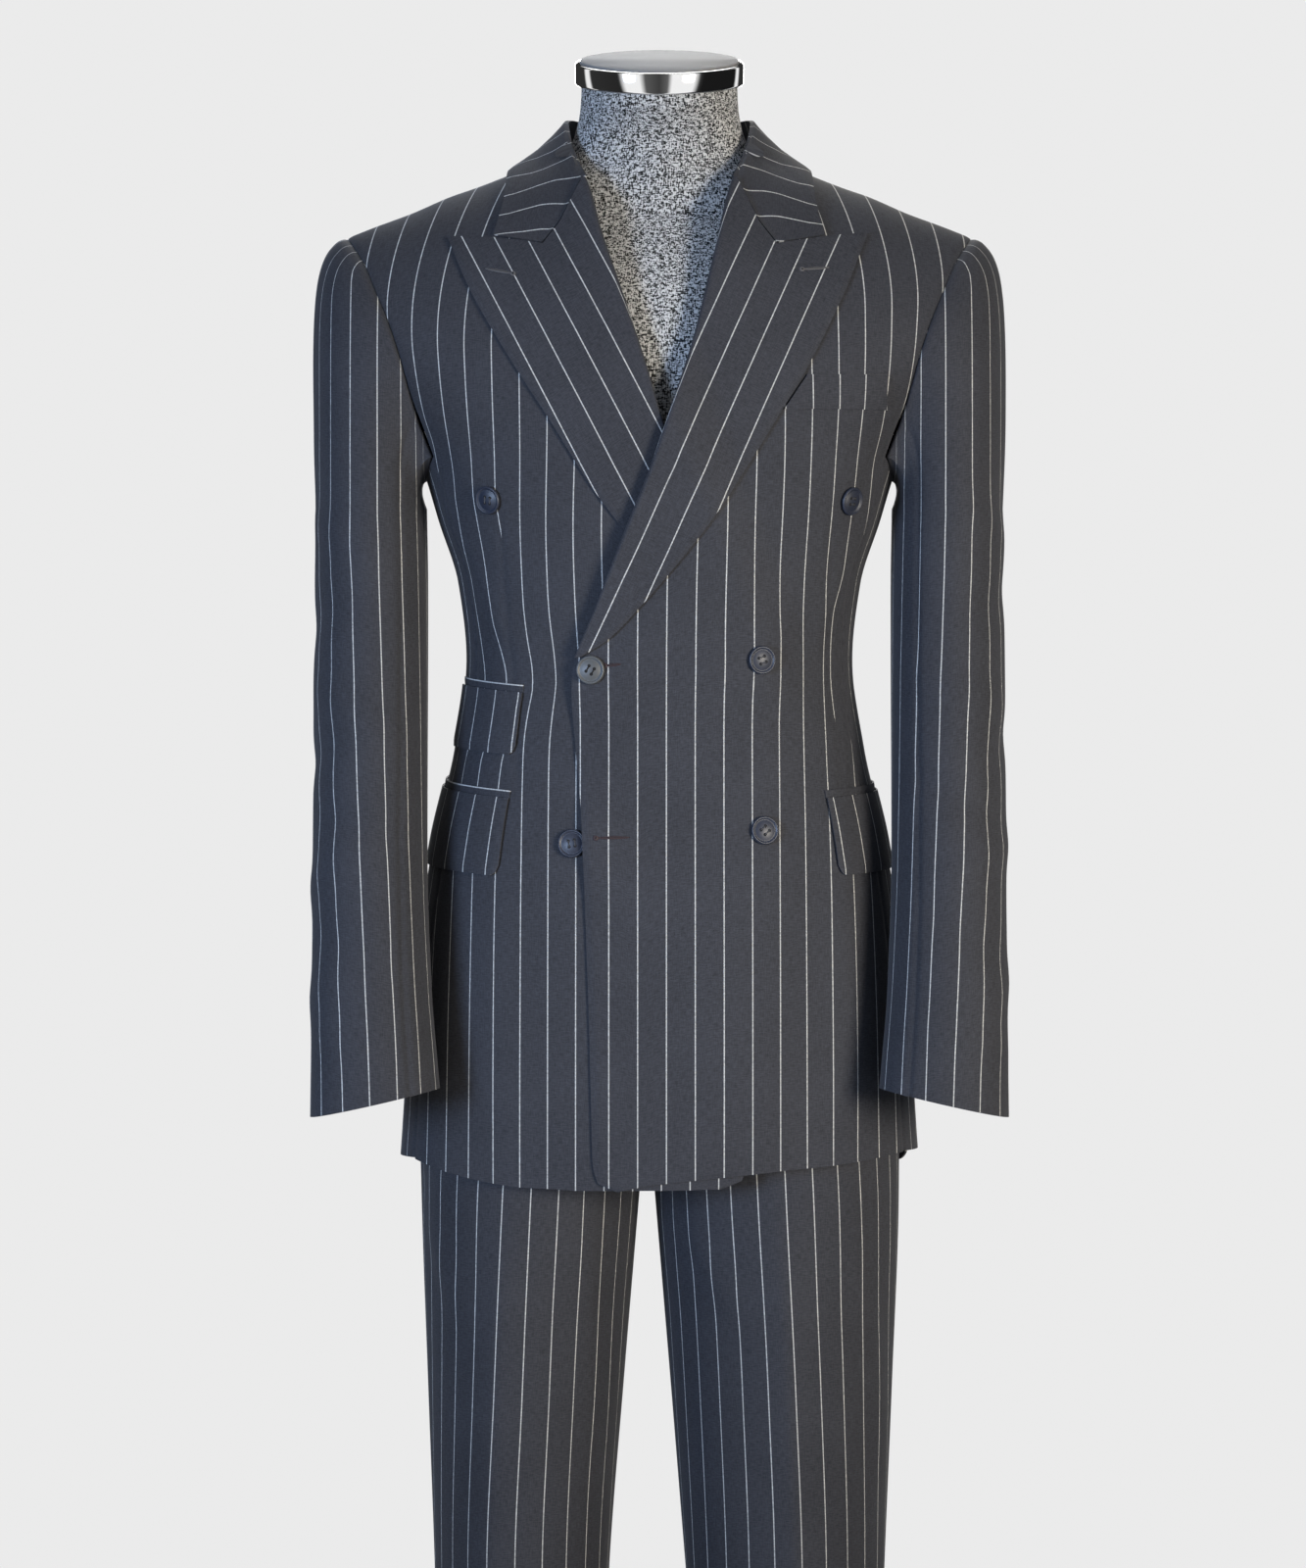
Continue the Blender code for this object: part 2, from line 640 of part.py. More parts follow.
def add_object(name, mesh, finish):
    mesh.materials.append(finish_material(name, finish))
    mesh.shade_smooth()
    piece = bpy.data.objects.new(name, mesh)
    suit.objects.link(piece)
    return piece


def surface_mesh(name, surface, columns, rows, closed=False, outwards=None):
    """A grid laid on surface(u, v), facing the way that outwards(point) points."""
    bm = bmesh.new()
    bmesh.ops.create_grid(bm, x_segments=columns, y_segments=rows, size=1.0)
    for vert in bm.verts:
        vert.co = surface((vert.co.x + 1.0) / 2.0, (vert.co.y + 1.0) / 2.0)
    if closed:
        bmesh.ops.remove_doubles(bm, verts=bm.verts, dist=WELD)
    bm.normal_update()
    facing = 0.0
    for face in bm.faces:
        centre = face.calc_center_median()
        facing += face.normal.dot(outwards(centre)) * face.calc_area()
    if facing < 0.0:
        bmesh.ops.reverse_faces(bm, faces=bm.faces)
    mesh = bpy.data.meshes.new(name)
    bm.to_mesh(mesh)
    bm.free()
    return mesh


def add_cloth(name, surface, columns, rows, outwards, wall=WALL, closed=False):
    mesh = surface_mesh(name, surface, columns, rows, closed, outwards)
    piece = add_object(name, mesh, SUITING)
    thickness = piece.modifiers.new("Wall", "SOLIDIFY")
    thickness.thickness = wall
    thickness.offset = -1.0
    return piece


def from_body(point):
    return Vector((point.x, point.y, 0.0))


def row_place(v):
    """Splits a panel's rows: the share of the way up to the chest, then the climb.

    The rows of the climb close up towards the shoulder seam.
    """
    row = v * (LOW_ROWS + HIGH_ROWS)
    if row < LOW_ROWS + WELD:
        return row / LOW_ROWS, 0.0
    rest = 1.0 - (row - LOW_ROWS) / HIGH_ROWS
    return 1.0, pi / 2.0 * (1.0 - max(rest, 0.0) ** ROW_CLOSING)


def eased(u):
    """Closes up the columns towards both edges of a piece."""
    return u - EDGE_EASE * sin(2.0 * pi * u) / (2.0 * pi)


def build_front(side):
    edge = edge_x[side]
    hem = front_hem[side]
    trim = turn_for(SEAM_TRIM, CHEST_LEVEL)

    def surface(u, v):
        rise, climb = row_place(v)
        if climb == 0.0:
            x = edge(BACK_HEM)
            for _ in range(SETTLE_ROUNDS):
                z = blend(hem(x), CHEST_LEVEL, rise)
                x = edge(z)
            inner = turn_of(x, z)
            turn = blend(inner, FRONT_SEAM_TURN - trim, u)
            for _ in range(SETTLE_ROUNDS):
                x = jacket_half_width(z) * signed_power(sin(radians(turn)), 2.0 / ROUNDNESS)
                z = blend(hem(x), CHEST_LEVEL, rise)
            level = z
        else:
            inner_x = meet(edge, climb, NECK_POINT_X)
            outer_x = meet(armhole_x, climb, ARMHOLE[-1].x)
            inner = turn_of(inner_x, climb_height(inner_x, climb))
            outer = turn_of(outer_x, climb_height(outer_x, climb)) - trim
            turn = blend(inner, outer, u)
            level = CHEST_LEVEL + climb * RIDGE_ANGLE_SCALE
        point = body_point(side * turn, level)
        lift = overlap_lift(point.x, point.z) if side > 0 else 0.0
        point = point + body_normal(side * turn, level) * lift
        if v == 1.0:
            point.y -= SEAM_TRIM
        return point

    name = "jacket_front_left" if side > 0 else "jacket_front_right"
    return add_cloth(name, surface, FRONT_COLUMNS, LOW_ROWS + HIGH_ROWS, from_body)


def build_side(side):
    trim = turn_for(SEAM_TRIM, CHEST_LEVEL)

    def surface(u, v):
        level = CHEST_LEVEL
        for _ in range(SETTLE_ROUNDS):
            back = back_seam_turn(level) - degrees(vent_gap(level) / BODY_ARC_RADIUS)
            turn = blend(FRONT_SEAM_TURN + trim, back, eased(u))
            reach = radians(back - turn) * BODY_ARC_RADIUS
            hem = front_hem[side](SIDE_HEM_X) + corner_rise(reach, VENT_CORNER)
            level = blend(hem, armhole_level(turn) - SEAM_GAP / 2.0, v)
        return body_point(side * turn, level)

    name = "jacket_side_left" if side > 0 else "jacket_side_right"
    return add_cloth(name, surface, SIDE_COLUMNS, LOW_ROWS, from_body)


def build_back(side):
    trim = turn_for(SEAM_TRIM, CHEST_LEVEL)
    middle = degrees(SEAM_TRIM / jacket_half_width(CHEST_LEVEL))

    def surface(u, v):
        rise, climb = row_place(v)
        if climb == 0.0:
            level = CHEST_LEVEL
            for _ in range(SETTLE_ROUNDS):
                seam = back_seam_turn(level) + degrees(vent_gap(level) / BODY_ARC_RADIUS)
                turn = blend(seam, 180.0 - middle, u)
                reach = radians(turn - seam) * BODY_ARC_RADIUS
                hem = BACK_HEM + corner_rise(reach, VENT_CORNER)
                level = blend(hem, CHEST_LEVEL, rise)
            return body_point(side * turn, level)
        share = climb / (pi / 2.0)
        for _ in range(SETTLE_ROUNDS):
            outer_x = meet(armhole_x, climb, ARMHOLE[-1].x)
            outer = 180.0 - turn_of(outer_x, climb_height(outer_x, climb)) + trim
            turn = blend(outer, 180.0 - middle, u)
            level = CHEST_LEVEL + climb * RIDGE_ANGLE_SCALE
            point = body_point(turn, level)
            tip = back_neck_tip(abs(point.x)) if abs(point.x) < NECK_POINT_X else 0.0
            climb = share * radians(90.0 + tip)
        point = body_point(side * turn, level)
        if v == 1.0:
            point.y += SEAM_TRIM
        return point

    name = "jacket_back_left" if side > 0 else "jacket_back_right"
    return add_cloth(name, surface, BACK_COLUMNS, LOW_ROWS + HIGH_ROWS, from_body)


def polyline(points, part):
    """A point of the line through the points, by its share of their number."""
    place = min(max(part, 0.0), 1.0) * (len(points) - 1)
    i = min(int(place), len(points) - 2)
    rest = place - i
    return (
        blend(points[i].x, points[i + 1].x, rest),
        blend(points[i].z, points[i + 1].z, rest),
    )


def build_lapel(side):
    edge_rows = LEFT_LAPEL_EDGE if side > 0 else RIGHT_LAPEL_EDGE
    top_rows = LEFT_LAPEL_TOP if side > 0 else RIGHT_LAPEL_TOP
    free_edge = Curve(edge_rows, "z", "x")
    roll = edge_x[side]
    bottom = edge_rows[0].z
    roll_top = top_rows[0].z
    peak = edge_rows[-1].z
    roll_start = LAPEL_ROLL_START[side]

    def surface(u, v):
        roll_z = blend(bottom, roll_top, v)
        edge_z = blend(bottom, peak, v)
        x = blend(roll(roll_z), free_edge(edge_z), u)
        z = blend(roll_z, edge_z, u)
        top_x, top_z = polyline(top_rows, u)
        reach = v ** LAPEL_TOP_REACH
        x += reach * (top_x - blend(roll(roll_top), free_edge(peak), u))
        z += reach * (top_z - blend(roll_top, peak, u)) - SEAM_GAP / 2.0 * v
        roll_lift = LAPEL_ROLL * (1.0 - u) ** 2 * soft_step((v - roll_start) / LAPEL_ROLL_RISE)
        return on_front(side, x, z, LAPEL_GAP + WALL + roll_lift)

    name = "lapel_left" if side > 0 else "lapel_right"
    return add_cloth(name, surface, *LAPEL_GRID, from_body)


def shoulder_point(x, tip, lift):
    """A point on the shoulder: tip is the angle from the ridge, positive forwards."""
    climb = radians(90.0 - abs(tip))
    z = climb_height(x, climb)
    turn, level = place_of(x, z, back=tip < 0.0)
    return on_body(turn, level, lift)


def stand_clear(point, gap):
    """Moves a point out from the shoulders until it is this far off them."""
    out = Vector((0.0, point.y, point.z - CHEST_LEVEL))
    width = jacket_half_width(point.z)
    s = min(abs(point.x) / width, 1.0)
    depth = jacket_front(point.z) if point.y < 0.0 else jacket_back(point.z)
    depth *= (1.0 - s ** ROUNDNESS) ** (1.0 / ROUNDNESS)
    height = shoulder_ridge(abs(point.x)) - CHEST_LEVEL
    share = ((out.y / depth) ** 2 + (out.z / height) ** 2) ** 0.5
    needed = 1.0 + gap / out.length
    if share < needed:
        out *= needed / share
    return Vector((point.x, out.y, CHEST_LEVEL + out.z))


def build_collar():
    seam_x = Curve(NECK_SEAM, "along", "x")
    seam_tip = Curve(NECK_SEAM, "along", "tip")
    fall_x = Curve(COLLAR_EDGE, "along", "x")
    fall_tip = Curve(COLLAR_EDGE, "along", "tip")
    fold = [Curve(COLLAR_FOLD, "along", axis) for axis in "xyz"]
    end_rows = LEFT_LAPEL_TOP[:5]

    def leaf(along, u):
        start = Vector([axis(along) for axis in fold])
        stop = shoulder_point(fall_x(along), fall_tip(along), COLLAR_LIFT)
        point = start.lerp(stop, u)
        end_x, end_z = polyline(end_rows, u)
        end = on_front(1, end_x + GORGE_GAP * (1.0 - u), end_z + GORGE_GAP, COLLAR_LIFT)
        end_start = Vector([axis(1.0) for axis in fold])
        end_stop = shoulder_point(fall_x(1.0), fall_tip(1.0), COLLAR_LIFT)
        end_line = end_start.lerp(end_stop, u)
        point += (end - end_line) * along ** COLLAR_END_REACH
        return stand_clear(point, COLLAR_LIFT)

    def surface(u, v):
        along = abs(2.0 * u - 1.0) * COLLAR_END_TRIM
        if v < COLLAR_STAND_SHARE:
            part = v / COLLAR_STAND_SHARE
            low = shoulder_point(seam_x(along), seam_tip(along), LAY_GAP)
            high = Vector([axis(along) for axis in fold])
            inwards = Vector((high.x, high.y - COLLAR_AXIS_Y, 0.0)).normalized()
            rounding = COLLAR_FOLD_RADIUS * part ** 3
            point = low.lerp(high, part) - inwards * rounding
        else:
            point = leaf(along, (v - COLLAR_STAND_SHARE) / (1.0 - COLLAR_STAND_SHARE))
        if u < 0.5:
            point.x = -point.x
        return point

    def outwards(point):
        around = from_body(point)
        return around if around.length > COLLAR_LEAF_DISTANCE else -around

    return add_cloth("collar", surface, *COLLAR_GRID, outwards)


sleeve_centre_x = Curve(SLEEVE_SECTIONS, "z", "centre_x")
sleeve_half_width = Curve(SLEEVE_SECTIONS, "z", "half_width")
sleeve_centre_y = Curve(SLEEVE_SECTIONS, "z", "centre_y")
sleeve_half_depth = Curve(SLEEVE_SECTIONS, "z", "half_depth")


def armhole_loop():
    """The armhole seam as points at even steps, from the shoulder round the front."""
    shoulder_x = ARMHOLE[-1].x
    front = []
    for i in range(ARMHOLE_STEPS):
        climb = pi / 2.0 * (1.0 - i / ARMHOLE_STEPS)
        x = meet(armhole_x, climb, shoulder_x)
        z = climb_height(x, climb)
        turn = turn_of(x, z)
        front.append((turn, CHEST_LEVEL + climb * RIDGE_ANGLE_SCALE))
    under = []
    for i in range(ARMHOLE_STEPS):
        turn = blend(FRONT_SEAM_TURN, 180.0 - FRONT_SEAM_TURN, i / ARMHOLE_STEPS)
        under.append((turn, armhole_level(turn)))
    back = [(180.0 - turn, level) for turn, level in front[1:]]
    back.append((180.0 - FRONT_SEAM_TURN, CHEST_LEVEL))
    points = [body_point(turn, level) for turn, level in front + under + back[::-1]]
    points.append(points[0].copy())
    lengths = [0.0]
    for before, after in zip(points, points[1:]):
        lengths.append(lengths[-1] + (after - before).length)
    return points, lengths


loop_points, loop_lengths = armhole_loop()


def armhole_point(around):
    target = (around % 360.0) / 360.0 * loop_lengths[-1]
    i = min(max(bisect_right(loop_lengths, target) - 1, 0), len(loop_points) - 2)
    span = loop_lengths[i + 1] - loop_lengths[i]
    part = (target - loop_lengths[i]) / span if span > 0.0 else 0.0
    return loop_points[i].lerp(loop_points[i + 1], part)


def sleeve_ring(around, z):
    angle = radians(around)
    return Vector((
        sleeve_centre_x(z) + sleeve_half_width(z) * cos(angle),
        sleeve_centre_y(z) - sleeve_half_depth(z) * sin(angle),
        z,
    ))


def sleeve_point(side, around, down):
    """A point of the left sleeve's outside, mirrored for the right.

    around is 0 at the outer side and 90 in front. down is 0 at the armhole, 1 where
    the sleeve head ends, and 2 at the cuff.
    """
    outer = cos(radians(around))
    forward = sin(radians(around))
    if down <= 1.0:
        start = armhole_point(around)
        away = Vector((1.0, -HEAD_LEAN_BACK * forward, HEAD_LEAN_UP * outer)).normalized()
        start = start + away * SEAM_GAP
        end = sleeve_ring(around, SLEEVE_START)
        first = start + away * (HEAD_FULLNESS + HEAD_FULLNESS_OUTSIDE * outer)
        second = end + Vector((-HEAD_PULL_IN * outer, 0.0, HEAD_DROP + HEAD_DROP_OUTSIDE * outer))
        rest = 1.0 - down
        point = (
            start * rest ** 3
            + first * 3.0 * down * rest ** 2
            + second * 3.0 * down ** 2 * rest
            + end * down ** 3
        )
    else:
        cuff = CUFF_LEVEL - CUFF_SLANT * outer
        point = sleeve_ring(around, blend(SLEEVE_START, cuff, down - 1.0))
    return Vector((side * point.x, point.y, point.z))


def sleeve_back_seam(down):
    return blend(SLEEVE_BACK_SEAM_TOP, SLEEVE_BACK_SEAM_CUFF, soft_step(down / 2.0))


def build_sleeve(side):
    trim = degrees(SEAM_GAP / SLEEVE_RADIUS)
    rows = SLEEVE_HEAD_ROWS + SLEEVE_ARM_ROWS

    def down_of(v):
        row = v * rows
        if row <= SLEEVE_HEAD_ROWS:
            return row / SLEEVE_HEAD_ROWS
        return 1.0 + (row - SLEEVE_HEAD_ROWS) / SLEEVE_ARM_ROWS

    def upper(u, v):
        down = down_of(v)
        around = blend(sleeve_back_seam(down) + trim, SLEEVE_FRONT_SEAM - trim, eased(u))
        return sleeve_point(side, around, down)

    def under(u, v):
        down = down_of(v)
        around = blend(SLEEVE_FRONT_SEAM + trim, 360.0 + sleeve_back_seam(down) - trim, eased(u))
        return sleeve_point(side, around, down)

    def from_arm(point):
        centre = Vector((side * sleeve_centre_x(point.z), sleeve_centre_y(point.z), point.z))
        return point - centre

    word = "left" if side > 0 else "right"
    add_cloth("sleeve_upper_" + word, upper, SLEEVE_UPPER_COLUMNS, rows, from_arm)
    add_cloth("sleeve_under_" + word, under, SLEEVE_UNDER_COLUMNS, rows, from_arm)


def pocket_surface(piece, top_rise, bottom_drop, lift, corner):
    """The strip between two heights measured from the pocket's mouth."""

    def surface(u, v):
        turn = blend(piece.turn_front, piece.turn_back, u)
        mouth = blend(piece.level_front, piece.level_back, u)
        reach = radians(min(u, 1.0 - u) * (piece.turn_back - piece.turn_front)) * POCKET_ARC_RADIUS
        bottom = mouth - bottom_drop + corner_rise(reach, corner)
        level = blend(bottom, mouth + top_rise, v)
        return on_body(piece.side * turn, level, lift)

    return surface


def build_pockets():
    for piece in POCKET_PIECES:
        flap = pocket_surface(piece, -SEAM_GAP, piece.height, LAY_GAP + FLAP_WALL, FLAP_CORNER)
        add_cloth(piece.name, flap, *FLAP_GRID, from_body, FLAP_WALL)
        welt = pocket_surface(piece, WELT_HEIGHT, 0.0, LAY_GAP + WELT_WALL, 0.0)
        add_cloth(piece.name.replace("flap", "welt"), welt, *POCKET_WELT_GRID, from_body, WELT_WALL)

    front = CHEST_WELT_FRONT
    back = CHEST_WELT_BACK

    def chest(u, v):
        bottom_x = blend(front.x_bottom, back.x_bottom, u)
        bottom_z = blend(front.z_bottom, back.z_bottom, u)
        top_x = blend(front.x_top, back.x_top, u)
        top_z = blend(front.z_top, back.z_top, u)
        return on_front(1, blend(bottom_x, top_x, v), blend(bottom_z, top_z, v), LAY_GAP + FLAP_WALL)

    add_cloth("chest_welt", chest, *CHEST_WELT_GRID, from_body, FLAP_WALL)


def turned(name, profile, finish, segments):
    """A turned solid: the profile's points are (radius, height), from top to bottom."""
    mesh = bpy.data.meshes.new(name)
    bm = bmesh.new()
    verts = [bm.verts.new((radius, 0.0, height)) for radius, height in profile]
    for before, after in zip(verts, verts[1:]):
        bm.edges.new((before, after))
    bm.to_mesh(mesh)
    bm.free()
    piece = add_object(name, mesh, finish)
    screw = piece.modifiers.new("Turn", "SCREW")
    screw.steps = segments
    screw.render_steps = segments
    screw.use_merge_vertices = True
    screw.merge_threshold = WELD
    screw.use_smooth_shade = True
    return piece


def button_profile(radius, thickness):
    """A flat button with a raised rim round a dished middle."""
    rim = RIM_SHARE * radius
    dish = DISH_SHARE * thickness
    return (
        (0.0, dish),
        (radius - 2.2 * rim, dish),
        (radius - 1.4 * rim, thickness),
        (radius - 0.5 * rim, thickness),
        (radius, 0.62 * thickness),
        (radius, 0.25 * thickness),
        (radius - rim, 0.0),
        (0.0, 0.0),
    )


def seat_on(piece, point, normal):
    piece.location = point
    piece.rotation_mode = "QUATERNION"
    piece.rotation_quaternion = normal.to_track_quat("Z", "Y")


def front_frame(side, x, z):
    point = on_front(side, x, z, 0.0)
    step = FRAME_STEP
    across = on_front(side, x + step, z, 0.0) - on_front(side, x - step, z, 0.0)
    up = on_front(side, x, z + step, 0.0) - on_front(side, x, z - step, 0.0)
    normal = across.cross(up).normalized() * side
    return point, normal


def build_buttons():
    for place in BUTTONS:
        profile = button_profile(BUTTON_RADIUS, BUTTON_THICKNESS)
        button = turned(place.name, profile, BUTTON_HORN, BUTTON_SEGMENTS)
        point, normal = front_frame(place.side, place.x, place.z)
        seat_on(button, point + normal * BUTTON_SEAT, normal)


def build_cuff_buttons(side):
    word = "left" if side > 0 else "right"
    for number in range(4):
        profile = button_profile(CUFF_BUTTON_RADIUS, CUFF_BUTTON_THICKNESS)
        button = turned(f"cuff_button_{word}_{number + 1}", profile, BUTTON_HORN, CUFF_BUTTON_SEGMENTS)
        above_cuff = CUFF_BUTTON_FIRST + number * CUFF_BUTTON_PITCH
        around = SLEEVE_BACK_SEAM_CUFF + CUFF_BUTTON_TURN
        cuff = CUFF_LEVEL - CUFF_SLANT * cos(radians(around))
        down = 2.0 - above_cuff / (SLEEVE_START - cuff)
        point = sleeve_point(side, around, down)
        across = sleeve_point(side, around + 1.0, down) - sleeve_point(side, around - 1.0, down)
        along = sleeve_point(side, around, down - 0.01) - sleeve_point(side, around, down + 0.01)
        normal = along.cross(across).normalized() * side
        seat_on(button, point + normal * BUTTON_SEAT, normal)


hip_half_width = Curve(HIP_SECTIONS, "z", "half_width")
hip_front = Curve(HIP_SECTIONS, "z", "front")
hip_back = Curve(HIP_SECTIONS, "z", "back")
leg_front = Curve(LEG_SECTIONS, "z", "front")
leg_back = Curve(LEG_SECTIONS, "z", "back")
leg_in = {1: Curve(LEG_SECTIONS, "z", "left_in"), -1: Curve(LEG_SECTIONS, "z", "right_in")}
leg_out = {1: Curve(LEG_SECTIONS, "z", "left_out"), -1: Curve(LEG_SECTIONS, "z", "right_out")}
leg_crease = {1: Curve(LEG_SECTIONS, "z", "left_crease"), -1: Curve(LEG_SECTIONS, "z", "right_crease")}


def trouser_point(side, back, across, z):
    """A point of the trousers' outside.

    across is 0 at the outer seam, and 1 at the middle seam or the inner leg seam.
    """
    facing = 1.0 if back else -1.0
    fork = soft_step((FORK_TOP - z) / (FORK_TOP - CROTCH_LEVEL))

    angle = radians(90.0 * (1.0 - across))
    s = sin(angle) ** (2.0 / HIP_ROUNDNESS)
    c = max(cos(angle), 0.0) ** (2.0 / HIP_ROUNDNESS)
    centre_x = side * TROUSER_CENTRE_X * fork
    hip_depth = hip_back(z) if back else hip_front(z)
    hip = Vector((centre_x * (1.0 - s) + s * hip_half_width(z), facing * c * hip_depth, z))

    inner = leg_in[side](z)
    outer = leg_out[side](z)
    middle = (inner + outer) / 2.0
    half = (outer - inner) / 2.0
    angle = radians(90.0 - 180.0 * across)
    depth = leg_back(z) if back else leg_front(z)
    crease_angle = asin((leg_crease[side](z) - middle) / half)
    ridge = CREASE_HEIGHT * exp(-abs(angle - crease_angle) / CREASE_REACH) * cos(angle)
    ridge *= blend(1.0, CREASE_UNDER_JACKET, soft_step((z - CREASE_SOFTENS_AT) / CREASE_SOFTENS_OVER))
    leg = Vector((middle + half * sin(angle), facing * (depth * cos(angle) + ridge), z))

    point = hip.lerp(leg, fork)
    if across > MIDDLE_SEAM_SHARE and z >= CROTCH_LEVEL - WALL:
        point.x = side * TROUSER_CENTRE_X * fork + SEAM_TRIM
        point.y += facing * 2.0 * SEAM_TRIM
    return Vector((side * point.x, point.y, point.z))


def crease_place(side, z):
    """Where the crease runs, as a share of the way across a trouser piece."""
    inner = leg_in[side](z)
    outer = leg_out[side](z)
    offset = (leg_crease[side](z) - (inner + outer) / 2.0) / ((outer - inner) / 2.0)
    return (pi / 2.0 - asin(offset)) / pi


def build_trousers(side):
    trim = TROUSER_SEAM_SHARE
    word = "left" if side > 0 else "right"
    rows = TROUSER_LEG_ROWS + TROUSER_HIP_ROWS

    def from_leg(point):
        z = point.z
        middle = (leg_in[side](z) + leg_out[side](z)) / 2.0
        axis_x = side * middle if z < FORK_TOP else 0.0
        return Vector((point.x - axis_x, point.y, 0.0))

    for back in (False, True):

        def surface(u, v, back=back):
            hem = TROUSER_HEM - (TROUSER_HEM_DROP if back else 0.0)
            row = v * rows
            if row <= TROUSER_LEG_ROWS:
                z = blend(hem, CROTCH_LEVEL, row / TROUSER_LEG_ROWS)
            else:
                part = (row - TROUSER_LEG_ROWS) / TROUSER_HIP_ROWS
                z = blend(CROTCH_LEVEL, BAND_BOTTOM - SEAM_GAP, part)
            last = 1.0 - trim if z < CROTCH_LEVEL - WELD else 1.0
            crease = crease_place(side, z)
            if u <= CREASE_COLUMN:
                across = blend(trim, crease, u / CREASE_COLUMN)
            else:
                across = blend(crease, last, (u - CREASE_COLUMN) / (1.0 - CREASE_COLUMN))
            return trouser_point(side, back, across, z)

        piece = "back" if back else "front"
        add_cloth(f"trouser_{piece}_{word}", surface, TROUSER_COLUMNS, rows, from_leg)


def build_waistband():
    def surface(u, v):
        z = blend(BAND_BOTTOM, BAND_TOP, v)
        angle = 2.0 * pi * u
        s = signed_power(sin(angle), 2.0 / HIP_ROUNDNESS)
        c = signed_power(cos(angle), 2.0 / HIP_ROUNDNESS)
        depth = hip_front(z) if c > 0.0 else hip_back(z)
        return Vector((s * hip_half_width(z), -c * depth, z))

    add_cloth("waistband", surface, BAND_COLUMNS, 1, from_body, closed=True)


def form_rings():
    rows = list(FORM_SECTIONS)
    for x in SHOULDER_CONTACT_X:
        z = shoulder_ridge(x) - FORM_CLEARANCE
        rows.append(FormSection(
            z, x, SHOULDER_DEPTH_FRONT, SHOULDER_DEPTH_BACK, 0.0, SHOULDER_ROUNDNESS,
        ))
    return rows + list(NECK_SECTIONS)


def neck_tilted(point, centre_y, amount):
    """Leans a level ring forwards, lower in front, by this share of the neck's tilt."""
    return point + Vector((0.0, 0.0, (point.y - centre_y) * tan(radians(NECK_TILT)) * amount))


def build_form():
    rings = form_rings()

    def surface(u, v):
        row = rings[round(v * (len(rings) - 1))]
        angle = 2.0 * pi * u
        on_neck = soft_step((row.z - NECK_ROOT) / (NECK_TOP - NECK_ROOT))
        s = signed_power(sin(angle), 2.0 / row.roundness)
        c = signed_power(cos(angle), 2.0 / row.roundness)
        depth = row.front if c > 0.0 else row.back
        point = Vector((s * row.half_width, row.centre_y - c * depth, row.z))
        return neck_tilted(point, row.centre_y, on_neck)

    mesh = surface_mesh("form_body", surface, FORM_COLUMNS, len(rings) - 1, True, from_body)
    bm = bmesh.new()
    bm.from_mesh(mesh)
    bmesh.ops.holes_fill(bm, edges=bm.edges, sides=0)
    bmesh.ops.recalc_face_normals(bm, faces=bm.faces)
    bm.to_mesh(mesh)
    bm.free()
    add_object("form_body", mesh, HEATHER)


def build_neck_cap():
    lean = Matrix.Rotation(radians(NECK_TILT), 4, "X")
    up = (lean @ Vector((0.0, 0.0, 1.0))).normalized()
    foot = Vector((0.0, NECK_CENTRE_Y, NECK_TOP)) + up * SEAM_GAP
    band = turned("cap_band", (
        (0.0, CAP_HEIGHT),
        (CAP_RADIUS - CAP_EDGE, CAP_HEIGHT),
        (CAP_RADIUS - 0.3 * CAP_EDGE, CAP_HEIGHT - 0.3 * CAP_EDGE),
        (CAP_RADIUS, CAP_HEIGHT - CAP_EDGE),
        (CAP_RADIUS, CAP_EDGE),
        (CAP_RADIUS - 0.3 * CAP_EDGE, 0.3 * CAP_EDGE),
        (CAP_RADIUS - CAP_EDGE, 0.0),
        (0.0, 0.0),
    ), CHROME, CAP_SEGMENTS)
    seat_on(band, foot, up)
    disc = turned("cap_disc", (
        (0.0, CAP_DISC_THICKNESS),
        (CAP_DISC_RADIUS - CAP_DISC_THICKNESS / 2.0, CAP_DISC_THICKNESS),
        (CAP_DISC_RADIUS, CAP_DISC_THICKNESS / 2.0),
        (CAP_DISC_RADIUS, 0.0),
        (0.0, 0.0),
    ), SATIN, CAP_SEGMENTS)
    seat_on(disc, foot + up * (CAP_HEIGHT + SEAM_GAP), up)


def build_stand():
    base = turned("base", (
        (0.0, BASE_THICKNESS),
        (BASE_RADIUS - BASE_EDGE, BASE_THICKNESS),
        (BASE_RADIUS - 0.3 * BASE_EDGE, BASE_THICKNESS - 0.3 * BASE_EDGE),
        (BASE_RADIUS, BASE_THICKNESS - BASE_EDGE),
        (BASE_RADIUS, 0.0),
        (0.0, 0.0),
    ), STEEL, BASE_SEGMENTS)
    base.location = (0.0, 0.0, 0.0)

    flange_top = FORM_BOTTOM - SEAM_GAP
    flange_bottom = flange_top - FLANGE_THICKNESS
    flange = turned("flange", (
        (0.0, FLANGE_THICKNESS),
        (FLANGE_RADIUS, FLANGE_THICKNESS),
        (FLANGE_RADIUS, 0.0),
        (0.0, 0.0),
    ), STEEL, FLANGE_SEGMENTS)
    flange.location = (POLE_X, 0.0, flange_bottom)

    pole_bottom = BASE_THICKNESS + SEAM_GAP
    pole_height = flange_bottom - SEAM_GAP - pole_bottom
    pole = turned("pole", (
        (0.0, pole_height),
        (POLE_RADIUS, pole_height),
        (POLE_RADIUS, 0.0),
        (0.0, 0.0),
    ), STEEL, POLE_SEGMENTS)
    pole.location = (POLE_X, 0.0, pole_bottom)


